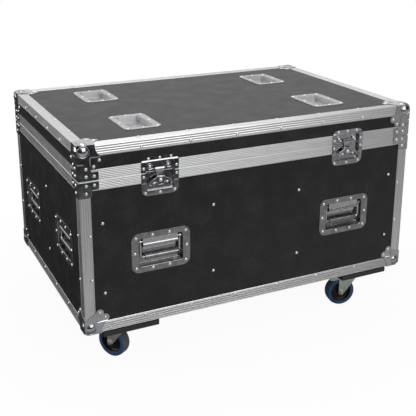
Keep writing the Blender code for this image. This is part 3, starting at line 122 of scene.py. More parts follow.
WING_SHARES = ((0.145, 0.02), (0.30, 0.10), (0.42, 0.26), (0.62, 0.34), (0.85, 0.58), (1.0, 0.92), (0.96, 1.0),
               (0.84, 0.98), (0.70, 0.76), (0.46, 0.66), (0.30, 0.80), (0.20, 0.98))
WING_STUD, LOBE_STUD, LOBE_OUT, LOBE_DOWN = (0.0064, 0.0023), (0.0038, 0.0012), 0.0205, 0.0190
STUD_SEAT, LOBE_SEAT = 0.0004, 0.0009

# Castors; the race's profile hangs from the plate's top, and the head's and kingpin's stand at the fork's
BOARD_X, BOARD_Y = 0.445, 0.317
CASTOR_HEIGHT, TRAIL, WHEEL_RADIUS, TYRE_HALF, HUB_RADIUS = 0.139, 0.040, 0.0525, 0.018, 0.038
CASTOR_TURNS = {"front_left": 123.0, "front_right": 168.0, "back_left": 145.0, "back_right": 158.0}
PLATE_SIZE, PLATE_THICK, BOLT_X, BOLT_Y = (0.105, 0.085, 0.008), 0.0025, 0.043, 0.033
BOLT_HEAD, BOLT_HEIGHT, BOLT_LOW = 0.0062, 0.0045, 0.007
WASHER, WASHER_HEIGHT, WASHER_LOW = 0.0078, 0.0010, 0.0034
RACE_PROFILE = ((0.0, -0.0065), (0.0265, -0.0065), (0.0285, -0.0059), (0.0308, -0.0035), (0.0305, -0.0012),
                (0.0, -0.0012))
FORK_INNER, FORK_SHEET, FORK_TOP, CROWN_EDGE = 0.0202, 0.003, 0.1225, 0.0009
FORK_EYE, FORK_EYE_ARC = 0.011, (0.0, -125.0)
FORK_OUTER = FORK_INNER + FORK_SHEET
FORK_FRONT = ((-0.015, FORK_TOP - 0.0165), (-0.022, FORK_TOP - 0.0075), (-0.023, FORK_TOP))
HEAD_PROFILE = ((0.0, 0.0094), (0.026, 0.0094), (0.029, 0.0064), (0.0285, 0.001), (0.0265, -0.001),
                (0.0, -0.001))
KINGPIN_PROFILE = ((0.0, -0.0085), (0.006, -0.0085), (0.0085, -0.006), (0.0085, -0.0025), (0.0, -0.0025))
AXLE_RADIUS, AXLE_PROUD, NUT, NUT_HEIGHT, NUT_PROUD, NUT_SEAT = 0.005, 0.003, 0.0080, 0.0042, 0.005, 0.0008
AXLE_WASHER, AXLE_WASHER_HEIGHT, AXLE_WASHER_PROUD, AXLE_WASHER_SUNK = 0.0092, 0.0016, 0.0012, 0.0004
TYRE_FOOT = ((0.0377, 0.0165), (0.039, TYRE_HALF))
SHOULDER, SHOULDER_RADIUS, SHOULDER_ARC = (0.047, 0.0135), 0.0045, (90.0, 35.0)
TREAD_CROWN, TREAD_LAP, TREAD_PROUD = ((0.0515, 0.0143), (0.0522, 0.0118), (WHEEL_RADIUS, 0.009)), 0.001, 0.0002
HUB_PROFILE = ((0.0055, 0.0195), (0.0105, 0.0195), (0.0118, 0.0185), (0.0125, 0.0075), (0.0140, 0.0056),
               (0.0325, 0.0048), (0.0343, 0.0062), (0.0351, 0.0160), (0.0361, 0.0170), (HUB_RADIUS, 0.0172))
PEDAL_X, PEDAL_Z, PEDAL_HALF, PEDAL_DROP, PEDAL_PIVOT = TRAIL + 0.0147, FORK_TOP - 0.0032, 0.020, 0.00125, 0.0032
PEDAL_SIDE = ((0.0, 0.0), (0.044, -0.0035), (0.050, -0.007), (0.0525, -0.00575), (0.047, -0.001), (0.0, 0.0025))
CHEEK_SHEET = 0.002
CHEEK_SIDE = ((-0.001, 0.003), (-0.007, -0.001), (-0.003, -0.0135), (0.026, -0.0175), (0.040, -0.006),
              (0.034, 0.003))

# Rivets' places, from the middle of what carries them
LENGTHWISE_RIVETS, CROSSWISE_RIVETS, STRIP_RIVET_IN = (0.0795, 0.239, 0.398), (0.0745, 0.2225), 0.0275
BASE_STRIP_UP, LID_STRIP_DOWN, POST_RIVET_IN, POST_RIVETS_UP = 0.026, 0.025, 0.0285, (0.320, 0.1775)
PANEL_RIVETS_X, PANEL_RIVETS_UP = (-0.5265, -0.160, 0.156, 0.526), (0.3555, 0.1277)
# Braces' rivets: (in from the corner, away from the seam)
BASE_BRACE_RIVETS = ((0.0225, 0.0138), (0.0472, 0.0134), (0.022, 0.037))
LID_BRACE_RIVETS = ((0.0236, 0.0377), (0.0233, 0.0147), (0.048, 0.0145))
# Latches' rivets: (across, up from the seam, share of the step to the panel)
TRAY_RIVETS = ((-0.0535, -0.0125, 0.0), (0.0535, -0.0125, 0.0), (-0.048, -0.065, 1.0), (0.048, -0.065, 1.0),
               (0.0, -0.0665, 1.0))
BOSS_SUNK_SHARE = (POCKET_DEPTH + GAP - BOSS_PAD) / PANEL_DEPTH
KEEPER_RIVETS = ((-0.0365, 0.0425, 1.0), (0.0, 0.0425, 1.0), (0.0365, 0.0425, 1.0), (-0.0535, 0.014, 0.0),
                 (0.0535, 0.014, 0.0), (-BOSS_OUT, BOSS_UP, BOSS_SUNK_SHARE),
                 (BOSS_OUT, BOSS_UP, BOSS_SUNK_SHARE))
HINGE_RIVET_X, HINGE_RIVET_UP = 0.022, 0.016
# Dishes' rivets: (across, up) from the dish's middle
HANDLE_RIVETS = ([(x, y) for x in (-0.083, 0.083) for y in (-0.050, 0.050)]
                 + [(x, y) for x in (-0.028, 0.028) for y in (-0.0545, 0.0545)] + [(-0.087, 0.0), (0.087, 0.0)])
CUP_RIVETS = [(x, y) for x in (-0.050, 0.050) for y in (-0.077, 0.0, 0.077)] + [(0.0, -0.0800), (0.0, 0.0800)]

FRONT_BACK, SIDES = ("front", "back"), ("left", "right")
FACE_TURNS = {"front": 0.0, "right": 90.0, "back": 180.0, "left": 270.0}
FACE_DISTANCE = {face: (CASE_DEPTH if face in FRONT_BACK else CASE_WIDTH) / 2 for face in FACE_TURNS}
FACE_HALF = {face: (CASE_WIDTH if face in FRONT_BACK else CASE_DEPTH) / 2 for face in FACE_TURNS}
CORNERS = ((-1, -1, 0.0), (1, -1, 90.0), (1, 1, 180.0), (-1, 1, 270.0))
HANDLE_SIDES = {"front": ("left", "right"), "right": ("front", "back"),
                "back": ("right", "left"), "left": ("back", "front")}
# Stands an outline up and draws it out along X
ALONG_X = Matrix(((0, 0, 1, 0), (1, 0, 0, 0), (0, 1, 0, 0), (0, 0, 0, 1)))


# Places

def shift(x=0.0, y=0.0, z=0.0):
    return Matrix.Translation((x, y, z))


def turn(degrees, axis):
    return Matrix.Rotation(math.radians(degrees), 4, axis)


def face_frame(face, across, up, out=0.0):
    """Local X across the face, local Y up, local Z out of it, from the edging's outer face."""
    place = shift(across, -FACE_DISTANCE[face] - out, up)
    return turn(FACE_TURNS[face], "Z") @ place @ turn(90.0, "X")


def corner_frames(z, flipped=False):
    """At each corner: local X and Y run along two edges, local Z up from it, or down where flipped."""
    over = turn(180.0, Vector((1.0, 1.0, 0.0))) if flipped else Matrix()
    return [shift(x * CASE_WIDTH / 2, y * CASE_DEPTH / 2, z) @ turn(degrees, "Z") @ over
            for x, y, degrees in CORNERS]


def corner_places():
    """Three faces of a corner: local Z out of each, local X and Y along its two edges."""
    down = Matrix(((0, 1, 0, 0), (1, 0, 0, 0), (0, 0, -1, 0), (0, 0, 0, 1)))
    return [shift(-GAP, -GAP, -GAP) @ turn(angle, Vector((1.0, 1.0, 1.0))) @ down
            for angle in (0.0, 120.0, 240.0)]


def latch_frame(side):
    return face_frame("front", side * LATCH_X, SEAM_Z)


# Outlines

def arc(centre, radius, start, end, steps):
    turns = [math.radians(start + (end - start) * step / steps) for step in range(steps + 1)]
    return [(centre[0] + radius * math.cos(a), centre[1] + radius * math.sin(a)) for a in turns]


def polygon(radius, sides):
    return arc((0.0, 0.0), radius, 0.0, 360.0 * (sides - 1) / sides, sides - 1)


def rounded(width, height, radius, steps=6):
    points = []
    for quarter, (side_x, side_y) in enumerate(((1, 1), (-1, 1), (-1, -1), (1, -1))):
        middle = (side_x * (width / 2 - radius), side_y * (height / 2 - radius))
        points += arc(middle, radius, 90.0 * quarter, 90.0 * (quarter + 1), steps)
    return points


def bend_curve(start, pull, end, steps):
    """Points of a smooth bend from one point to another, pulled towards a third."""
    start, pull, end = Vector(start), Vector(pull), Vector(end)
    shares = [step / steps for step in range(steps + 1)]
    return [tuple(start * (1 - t) ** 2 + pull * 2 * t * (1 - t) + end * t * t) for t in shares]


def ribs(start, end, count, depth, inwards):
    """Points of evenly spaced rounded ribs along a section's straight edge, with a fine groove between two."""
    start, along, sink = Vector(start), Vector(end) - Vector(start), Vector(inwards) * depth
    places = [(number, share) for number in range(count) for share in RIB_SHARES]
    return [tuple(start + along * (number + t) / count + sink * (2 * t - 1) ** 2) for number, t in places]


def smoothed(points, rounds=2):
    """Rounds off a line's corners by cutting them, its ends kept."""
    line = [Vector(point) for point in points]
    for _ in range(rounds):
        cuts = [a.lerp(b, share) for a, b in zip(line, line[1:]) for share in (0.25, 0.75)]
        line = [line[0]] + cuts + [line[-1]]
    return [tuple(point) for point in line]


def mirrored(half):
    """A turned section from its lower half."""
    return list(half) + [(radius, -height) for radius, height in half[::-1]]


def swapped(line):
    """The same line run back on the other side of the diagonal."""
    return [(b, a) for a, b in line[::-1]]


def crossed(across, up):
    """Every point of a grid."""
    return [(x, y) for x in across for y in up]


def both(distance):
    """To the left and to the right of the middle."""
    return -distance, distance


# Shapes

def sketch(points):
    """One flat face through the points."""
    bm = bmesh.new()
    bm.faces.new([bm.verts.new((x, y, 0.0)) for x, y in points])
    return bm


def placed(bm, place):
    bmesh.ops.transform(bm, matrix=place, verts=bm.verts)
    return bm


def prism(points, length, place=Matrix(), edge=0.0):
    """Closed solid: an outline in local XY drawn out along local Z, its edges broken where edge is given."""
    bm = sketch(points)
    made = bmesh.ops.extrude_face_region(bm, geom=bm.faces[:])
    moved = [part for part in made["geom"] if isinstance(part, bmesh.types.BMVert)]
    bmesh.ops.translate(bm, verts=moved, vec=(0.0, 0.0, length))
    bmesh.ops.recalc_face_normals(bm, faces=bm.faces)
    if edge:
        soften(bm, edge)
    return placed(bm, place)


def bevelled(bm, edges, width, segments):
    bmesh.ops.bevel(bm, geom=edges, offset=width, offset_type="OFFSET", affect="EDGES", segments=segments,
                    profile=0.5, material=-1, clamp_overlap=True)
    return bm


def soften(bm, width, segments=2, angle=SHARP_ANGLE):
    """Breaks the sharp edges."""
    sharp = [e for e in bm.edges if len(e.link_faces) == 2 and e.calc_face_angle() > math.radians(angle)]
    return bevelled(bm, sharp, width, segments)


def turned(profile, steps, place=Matrix()):
    """Solid turned about local Z from (radius, height) points."""
    bm = bmesh.new()
    verts = [bm.verts.new((radius, 0.0, height)) for radius, height in profile]
    pairs = list(zip(verts, verts[1:]))
    if min(profile[0][0], profile[-1][0]) > 0:
        pairs.append((verts[-1], verts[0]))
    edges = [bm.edges.new(pair) for pair in pairs]
    bmesh.ops.spin(bm, geom=verts + edges, cent=(0, 0, 0), axis=(0, 0, 1), angle=2 * math.pi, steps=steps,
                   use_merge=True)
    bmesh.ops.remove_doubles(bm, verts=bm.verts, dist=1e-6)
    bmesh.ops.recalc_face_normals(bm, faces=bm.faces)
    return placed(bm, place)


def block(low, high, edge=0.0):
    (x0, y0, z0), (x1, y1, z1) = low, high
    return prism([(x0, y0), (x1, y0), (x1, y1), (x0, y1)], z1 - z0, shift(z=z0), edge)


def cut(bm, point, normal, away=False):
    """Cuts along a plane; where asked, what lies beyond it goes and the cut is closed."""
    everything = bm.verts[:] + bm.edges[:] + bm.faces[:]
    made = bmesh.ops.bisect_plane(bm, geom=everything, plane_co=point, plane_no=normal, clear_outer=away)
    if away:
        rim = [part for part in made["geom_cut"] if isinstance(part, bmesh.types.BMEdge)]
        bmesh.ops.edgeloop_fill(bm, edges=rim)


def facing_up(bm):
    """Skin turned so that its largest face looks up local Z."""
    bmesh.ops.recalc_face_normals(bm, faces=bm.faces)
    if max(bm.faces, key=lambda f: f.calc_area()).normal.z < 0:
        bmesh.ops.reverse_faces(bm, faces=bm.faces)
    return bm


def lofted(outlines, closed=True):
    """Skin from one outline to the next, with a floor in the last; its faces look up local Z."""
    bm = bmesh.new()
    rows = []
    for outline in outlines:
        verts = [bm.verts.new(point) for point in outline]
        pairs = list(zip(verts, verts[1:])) + ([(verts[-1], verts[0])] if closed else [])
        rows.append([bm.edges.new(pair) for pair in pairs])
    for outer, inner in zip(rows, rows[1:]):
        bmesh.ops.bridge_loops(bm, edges=outer + inner)
    bm.faces.new([v for v in bm.verts][-len(outlines[-1]):])
    return facing_up(bm)


def as_object(name, bm):
    mesh = bpy.data.meshes.new(name)
    bm.to_mesh(mesh)
    bm.free()
    made = bpy.data.objects.new(name, mesh)
    bpy.context.scene.collection.objects.link(made)
    return made


def finished(shape):
    """The shape with its modifiers applied."""
    bpy.context.view_layer.update()
    bm = bmesh.new()
    bm.from_object(shape, bpy.context.evaluated_depsgraph_get())
    bpy.data.objects.remove(shape, do_unlink=True)
    return bm


def thick(bm, thickness, outwards=False):
    """Gives a skin its wall, behind its faces or in front of them."""
    shape = as_object("skin", bm)
    wall = shape.modifiers.new("wall", "SOLIDIFY")
    wall.thickness = thickness
    wall.offset = 1.0 if outwards else -1.0
    wall.use_even_offset = True
    return finished(shape)


def carved(bm, tool):
    """Takes one closed shape out of another."""
    shape, taken = as_object("shape", bm), as_object("taken", tool)
    step = shape.modifiers.new("carve", "BOOLEAN")
    step.operation = "DIFFERENCE"
    step.solver = "EXACT"
    step.object = taken
    result = finished(shape)
    bpy.data.objects.remove(taken, do_unlink=True)
    return result


def spread(shape, places):
    """Copies of one shape at several places, in one bmesh."""
    mesh = bpy.data.meshes.new("copy")
    shape.to_mesh(mesh)
    bm = bmesh.new()
    for place in places:
        before = len(bm.verts)
        bm.from_mesh(mesh)
        bm.verts.ensure_lookup_table()
        bmesh.ops.transform(bm, matrix=place, verts=bm.verts[before:])
    bpy.data.meshes.remove(mesh)
    return bm


def joined(shapes):
    """Several shapes as one."""
    whole = bmesh.new()
    mesh = bpy.data.meshes.new("joined")
    for shape in shapes:
        shape.to_mesh(mesh)
        whole.from_mesh(mesh)
        shape.free()
    bpy.data.meshes.remove(mesh)
    return whole


def piece(name, shapes, finish, body, replaced=()):
    """Joins shapes into one named piece that rides on a body."""
    made = as_object(name, joined(shapes))
    made.data.materials.append(finish)
    made.data.shade_smooth()
    made.data.set_sharp_from_angle(angle=math.radians(SMOOTH_ANGLE))
    flats = made.modifiers.new("flat faces shade flat", "WEIGHTED_NORMAL")
    flats.keep_sharp = True
    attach(made, body)
    if replaced:
        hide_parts(*replaced)


def put(name, shape, place, finish, body, replaced=()):
    """A copy of a shape at its place, as one piece."""
    piece(name, [spread(shape, [place])], finish, body, replaced)


# Finishes

def linear(code):
    """sRGB hex colour as linear RGBA."""
    shares = [int(code[i:i + 2], 16) / 255 for i in (1, 3, 5)]
    return (*[s / 12.92 if s <= 0.04045 else ((s + 0.055) / 1.055) ** 2.4 for s in shares], 1.0)


def add(tree, kind, inputs=None, stops=(), **settings):
    """Adds a node. An input is a value to set, or a socket or a node, whose first output it is, to link; stops
    are a ramp's (place, hex) colours."""
    made = tree.nodes.new("ShaderNode" + kind)
    for key, value in settings.items():
        setattr(made, key, value)
    for key, value in (inputs or {}).items():
        if isinstance(value, (bpy.types.NodeSocket, bpy.types.Node)):
            tree.links.new(value.outputs[0] if isinstance(value, bpy.types.Node) else value, made.inputs[key])
        else:
            made.inputs[key].default_value = value
    for number, (place, code) in enumerate(stops):
        ramp = made.color_ramp.elements
        step = ramp[number] if number < len(ramp) else ramp.new(place)
        step.position = place
        step.color = linear(code)
    return made


def blank(name):
    """New material, its tree and the point's place on the object."""
    made = bpy.data.materials.new(name)
    made.use_nodes = True
    made.node_tree.nodes.clear()
    return made, made.node_tree, add(made.node_tree, "TexCoord").outputs["Object"]


def speckle(tree, place, millimetres, detail=2.0, drawn=None):
    """Noise whose grains are about this far apart; (axis, factor) draws them out along an axis."""
    stretch = [drawn[1] if drawn and letter == drawn[0] else 1.0 for letter in "xyz"]
    vector = add(tree, "Mapping", {"Vector": place, "Scale": stretch})
    noise = add(tree, "TexNoise", {"Vector": vector, "Scale": 1000.0 / millimetres, "Detail": detail})
    return noise.outputs["Fac"]


def coat(made, tree, colour, gloss_by, gloss, relief, depth, metal=0.0):
    """Shader of a finish: its roughness runs between two values with one pattern and its relief follows another.
    Most of a noise lies from 0.3 to 0.7."""
    rough = add(tree, "MapRange", {"Value": gloss_by, "From Min": 0.3, "From Max": 0.7,
                                   "To Min": gloss[0], "To Max": gloss[1]})
    skin = add(tree, "Bump", {"Height": relief, "Distance": depth})
    shader = add(tree, "BsdfPrincipled", {"Metallic": metal, "Base Color": colour, "Roughness": rough,
                                          "Normal": skin})
    add(tree, "OutputMaterial", {"Surface": shader})
    return made


def laminate_finish():
    """Black phenolic film pressed on plywood over a pebbled texture: nearly flat black, with a dull and broken
    sheen. The pebbles are a few times coarser than the real ones of about 1 mm, which are too fine to show."""
    made, tree, place = blank("textured_phenolic_laminate")
    grain, cloud = speckle(tree, place, 7.0, 4.0), speckle(tree, place, 60.0)
    summed = add(tree, "Math", {0: grain, 1: cloud}, operation="ADD")
    mean = add(tree, "Math", {0: summed, 1: 0.5}, operation="MULTIPLY")
    colour = add(tree, "ValToRGB", {"Fac": mean}, [(0.36, "#050505"), (0.5, "#0d0d0d"), (0.66, "#1d1d1d")])
    return coat(made, tree, colour, cloud, (0.42, 0.50), grain, 0.0003)


def aluminium_finish(axis):
    """Extruded aluminium, etched and clear anodised: bright satin, with die lines along the extrusion, drawn
    coarser than the real ones of 0.2 mm."""
    made, tree, place = blank("anodised_aluminium_" + axis)
    lines, cloud = speckle(tree, place, 1.6, 2.0, (axis, 0.01)), speckle(tree, place, 45.0)
    colour = add(tree, "ValToRGB", {"Fac": lines}, [(0.3, "#c8c9c9"), (0.5, "#d4d5d5"), (0.7, "#e0e0e0")])
    return coat(made, tree, colour, cloud, (0.36, 0.42), lines, 0.00003, 1.0)


def steel_finish(name, dark, pale, gloss, line_mm, axis="x"):
    """Plated sheet steel: the plating makes it shine, and drawing and handling leave lines and scuffs in the
    shine. The lines are drawn coarser than the real ones of 0.1 mm."""
    made, tree, place = blank(name)
    lines, scuff = speckle(tree, place, line_mm, 2.0, (axis, 0.04)), speckle(tree, place, 14.0, 4.0)
    colour = add(tree, "ValToRGB", {"Fac": scuff}, [(0.3, dark), (0.7, pale)])
    return coat(made, tree, colour, scuff, gloss, lines, 0.00002, 1.0)


def moulded_finish(name, dark, pale, gloss, grain_mm, relief):
    """Moulded rubber or plastic: dull, with a grain in its gloss, coarser than the real one, and clouds in its
    colour."""
    made, tree, place = blank(name)
    grain, cloud = speckle(tree, place, grain_mm, 3.0), speckle(tree, place, grain_mm * 12)
    colour = add(tree, "ValToRGB", {"Fac": cloud}, [(0.3, dark), (0.7, pale)])
    return coat(made, tree, colour, grain, gloss, grain, relief)


def ply_finish(name, face_colours, ply_colours, across):
    """Plywood: veneer with its grain on the faces, and thin glued plies where an edge shows its thickness.
    Two plies, a pale one and a dark one, take 2.8 mm."""
    made, tree, place = blank(name)
    grain = speckle(tree, place, 3.0, 4.0, ("x" if across == "z" else "z", 0.06))
    depth = add(tree, "SeparateXYZ", {"Vector": place}).outputs[across.upper()]
    plies = add(tree, "Math", {0: depth, 1: math.pi * 2 / 0.0028}, operation="MULTIPLY")
    wave = add(tree, "Math", {0: plies}, operation="SINE")
    layer = add(tree, "MapRange", {"Value": wave, "From Min": -1.0})
    broken = add(tree, "Math", {0: layer, 1: grain}, operation="MULTIPLY")
    normal = add(tree, "NewGeometry").outputs["True Normal"]
    lean = add(tree, "SeparateXYZ", {"Vector": normal}).outputs[across.upper()]
    facing = add(tree, "Math", {0: lean}, operation="ABSOLUTE")
    flat = add(tree, "Math", {0: facing, 1: 0.5}, operation="GREATER_THAN")
    edge = add(tree, "ValToRGB", {"Fac": broken}, list(zip((0.0, 0.6), ply_colours)))
    face = add(tree, "ValToRGB", {"Fac": grain}, list(zip((0.3, 0.7), face_colours)))
    colour = add(tree, "Mix", {0: flat, 6: edge, 7: face}, data_type="RGBA").outputs[2]
    return coat(made, tree, colour, grain, (0.5, 0.7), grain, 0.00015)


LAMINATE = laminate_finish()
ALUMINIUM = {axis: aluminium_finish(axis) for axis in "xyz"}
CHROME = steel_finish("chromed_pressed_steel", "#a6a7aa", "#bfc0c3", (0.12, 0.20), 1.2)
DISH_STEEL = steel_finish("zinc_plated_dish_steel", "#808081", "#a2a2a2", (0.24, 0.34), 1.2, "z")
CUP_STEEL = steel_finish("dull_zinc_plated_cup_steel", "#b2b2b4", "#c6c6c7", (0.54, 0.64), 1.2)
RIVET_STEEL = steel_finish("nickel_plated_rivets", "#e6e6e6", "#f4f4f4", (0.34, 0.44), 2.0)
ZINC = steel_finish("zinc_plated_castor_steel", "#c6cac6", "#dde0da", (0.46, 0.58), 1.5)
BOARD = ply_finish("black_film_faced_plywood", ("#232323", "#323131"), ("#1c1a19", "#35322f"), "z")
BIRCH = {axis: ply_finish("birch_plywood_" + axis, ("#b99a6b", "#d3b88a"), ("#8a6a43", "#d6bc90"), axis)
         for axis in "xy"}
BLUE = moulded_finish("blue_elastic_rubber", "#1c3b60", "#264a72", (0.42, 0.58), 1.2, 0.00008)
TREAD = moulded_finish("scuffed_tyre_tread", "#47494c", "#5e6063", (0.6, 0.8), 1.5, 0.00015)
HUB = moulded_finish("black_moulded_nylon", "#14130f", "#1f1d1a", (0.35, 0.5), 1.0, 0.00005)


# Extruded edging

def leg_section():
    """Section of the edging: outer corner at zero, both legs ribbed along their length, each with a lip."""
    lip = [(LEG - back, sunk) for back, sunk in LIP_PROFILE]
    near, far = LEG_ROUND + RIB_MARGIN, LEG - LIP_WIDTH
    out = ribs((far, 0.0), (near, 0.0), LEG_RIBS, LEG_RIB_DEPTH, (0.0, 1.0))
    up = ribs((0.0, near), (0.0, far), LEG_RIBS, LEG_RIB_DEPTH, (1.0, 0.0))
    corner = arc((LEG_ROUND, LEG_ROUND), LEG_ROUND, 270.0, 180.0, 4)
    return lip + out + corner + up + swapped(lip) + [(LEG_WALL, LEG), (LEG_WALL, LEG_WALL), (LEG, LEG_WALL)]


def strip(corner, leg_a, leg_b, along):
    a, b, c = Vector(leg_a), Vector(leg_b), Vector(along)
    if a.cross(b).dot(c) < 0:
        a, b = b, a
    axes = Matrix((a, b, c.normalized())).transposed().to_4x4()
    return prism(leg_section(), c.length, Matrix.Translation(corner) @ axes)


def flat_strips(faces, z, up):
    """Lengths of edging along the top or the bottom, between the ball corners."""
    made = []
    for face in faces:
        half = FACE_HALF[face] - STRIP_END
        length = strip((-half, -FACE_DISTANCE[face], z), (0, 1, 0), (0, 0, up), (2 * half, 0, 0))
        made.append(placed(length, turn(FACE_TURNS[face], "Z")))
    return made


def posts(low, high):
    upright = strip((0.0, 0.0, low), (1, 0, 0), (0, 1, 0), (0, 0, high - low))
    return [spread(upright, corner_frames(0.0))]


def base_rim_section():
    """Lower seam edging: depth from the outer face, height from the seam, with its tongue."""
    face = ribs((0.0, RIM_MARGIN - BASE_RIM), (0.0, -RIM_LIP), RIM_RIBS, RIM_RIB_DEPTH, (1.0, 0.0))
    tongue_in = TONGUE_SETBACK + TONGUE_WIDTH
    return [(0.0, -BASE_RIM)] + face + [
        (0.0, -RIM_BREAK), (RIM_BREAK, 0.0), (TONGUE_SETBACK, 0.0), (TONGUE_SETBACK, TONGUE_HEIGHT),
        (tongue_in, TONGUE_HEIGHT), (tongue_in, 0.0), (RIM_DEPTH, 0.0), (RIM_DEPTH, -RIM_INSIDE),
        (WALL_INNER, -RIM_INSIDE), (WALL_INNER, -BASE_RIM_SHELF), (LEG_WALL, -BASE_RIM_SHELF),
        (LEG_WALL, -BASE_RIM)]


def lid_rim_section():
    """Upper seam edging with the groove for the tongue."""
    face = ribs((0.0, LID_RIM - RIM_MARGIN), (0.0, GAP + RIM_LIP), RIM_RIBS, RIM_RIB_DEPTH, (1.0, 0.0))
    near, far = TONGUE_SETBACK - TONGUE_PLAY, TONGUE_SETBACK + TONGUE_WIDTH + TONGUE_PLAY
    depth = TONGUE_HEIGHT + TONGUE_PLAY
    return [(0.0, LID_RIM)] + face + [
        (0.0, GAP + RIM_BREAK), (RIM_BREAK, GAP), (near, GAP), (near, depth), (far, depth), (far, GAP),
        (RIM_DEPTH, GAP), (RIM_DEPTH, RIM_INSIDE), (WALL_INNER, RIM_INSIDE), (WALL_INNER, LID_RIM_SHELF),
        (LEG_WALL, LID_RIM_SHELF), (LEG_WALL, LID_RIM)]


def rim_side(face, section):
    """One side of the seam edging, mitred at both ends; the front is notched for the latches."""
    half, near = FACE_HALF[face], -FACE_DISTANCE[face]
    bm = prism(section, 2 * half, shift(-half, near, SEAM_Z) @ ALONG_X)
    for side in (-1, 1):
        cut(bm, (side * half, near, 0.0), (side, 1.0, 0.0), away=True)
    bmesh.ops.recalc_face_normals(bm, faces=bm.faces)
    if face == "front":
        reach = POCKET_WIDTH / 2 + NOTCH_PLAY
        for side in (-1, 1):
            low = (side * LATCH_X - reach, near - OVERRUN, SEAM_Z - NOTCH_REACH)
            high = (side * LATCH_X + reach, near + POCKET_DEPTH + NOTCH_BEHIND, SEAM_Z + NOTCH_REACH)
            bm = carved(bm, block(low, high))
    return placed(bm, turn(FACE_TURNS[face], "Z"))


# Pressed steel fittings

def corner_face(place):
    """One face of a ball corner: waisted, with two ears, stepped down to the panel beyond the edging."""
    ear = arc((EAR_OUT, EAR_UP), EAR_RADIUS, *EAR_ARC, 9)
    half = bend_curve((CORNER_WAIST, 0.0), (CORNER_WAIST, CORNER_FLARE), ear[0], 6)[:-1] + ear
    bm = sketch([(CORNER_MOUTH, 0.0)] + half + swapped(half) + [(0.0, CORNER_MOUTH)])
    for depth in (STRIP_END, STRIP_END + CORNER_STEP):
        for normal in (Vector((1.0, 0.0, 0.0)), Vector((0.0, 1.0, 0.0))):
            cut(bm, normal * depth, normal)
    lines = [e for e in bm.edges if all(min(v.co.x, v.co.y) < STRIP_END - GAP for v in e.verts)]
    bmesh.ops.dissolve_edges(bm, edges=[e for e in lines if len(e.link_faces) == 2], use_verts=True)
    for vert in bm.verts:
        if min(vert.co.x, vert.co.y) > STRIP_END + CORNER_STEP / 2:
            vert.co.z -= PANEL_DEPTH
    return placed(bm, place)


def ball_corner():
    """Three eared faces folded from one sheet, with the pressed ball and the bead round its foot."""
    whole = joined([corner_face(place) for place in corner_places()])
    bmesh.ops.remove_doubles(whole, verts=whole.verts, dist=GAP / 3)
    faces = soften(thick(whole, CORNER_SHEET, outwards=True), EDGE_FOLD, angle=STEP_ANGLE)
    aim = Vector((1.0, 1.0, 1.0)).to_track_quat("Z", "Y").to_matrix().to_4x4()
    ball = bmesh.new()
    bmesh.ops.create_uvsphere(ball, u_segments=36, v_segments=20, radius=BALL_RADIUS,
                              matrix=shift(BALL_INSET, BALL_INSET, BALL_INSET) @ aim)
    inside = [face for face in ball.faces if min(face.calc_center_median()) > BALL_SHEET]
    bmesh.ops.delete(ball, geom=inside, context="FACES")
    foot = math.sqrt(BALL_RADIUS ** 2 - BALL_INSET ** 2) + BEAD_SETBACK
    section = [(foot + BEAD_OUT * x, CORNER_SHEET + BEAD_UP * (y - BEAD_SINK_SHARE))
               for x, y in polygon(1.0, 12)]
    beads = [turned(section, 32, place @ shift(BALL_INSET, BALL_INSET)) for place in corner_places()]
    return joined([faces, thick(ball, BALL_SHEET)] + beads)


def brace():
    """Sheet brace folded round a corner post, rising from the seam."""
    head, tip, inner = BRACE_HEAD_ROUND, BRACE_TIP_ROUND, BRACE_INNER_ROUND
    outline = [(BRACE_ARM, BRACE_FOOT)] + arc((BRACE_ARM - tip, BRACE_ARM_HEIGHT - tip), tip, 0.0, 90.0, 3)
    outline += arc((BRACE_POST + inner, BRACE_ARM_HEIGHT + inner), inner, 270.0, 180.0, 3)
    outline += arc((BRACE_POST - head, BRACE_POST_HEIGHT - head), head, 0.0, 90.0, 6)
    bm = bmesh.new()
    foot, top = [bm.verts.new((-GAP, -GAP, z)) for z in (BRACE_FOOT, BRACE_POST_HEIGHT)]
    front = [bm.verts.new((a, -GAP, b)) for a, b in outline]
    side = [bm.verts.new((-GAP, a, b)) for a, b in outline]
    bm.faces.new([foot] + front + [top])
    bm.faces.new([top] + side[::-1] + [foot])
    return soften(thick(bm, CORNER_SHEET, outwards=True), EDGE_LEG)


def hinge(above):
    """Hinge leaf with its knuckles; the base's carries the pin."""
    half, third, across = HINGE_LENGTH / 2, HINGE_LENGTH / 3, turn(90.0, "Y")
    low = HINGE_RADIUS + HINGE_SETBACK
    shapes = [block((-half, low, 0.0), (half, HINGE_LEAF, HINGE_SHEET), EDGE_SHEET)]
    for start, end in ((-third / 2, third / 2),) if above else ((-half, -third / 2), (third / 2, half)):
        barrel = shift(x=start + GAP, z=HINGE_OUT) @ across
        shapes.append(prism(polygon(HINGE_RADIUS, 24), end - start - 2 * GAP, barrel, EDGE_FINE))
        shapes.append(block((start + GAP, 0.0, 0.0), (end - GAP, low + HINGE_LAP, HINGE_SHEET)))
    if not above:
        pin = shift(x=-half - HINGE_PIN_PROUD, z=HINGE_OUT) @ across
        shapes.append(prism(polygon(HINGE_PIN, 12), HINGE_LENGTH + 2 * HINGE_PIN_PROUD, pin))
    return joined(shapes)


def rivet(radius=RIVET_RADIUS, height=RIVET_HEIGHT):
    """Domed head of a blind rivet with the small dimple in its middle."""
    return turned([(radius * out, height * up) for out, up in RIVET_SHARES], 12)


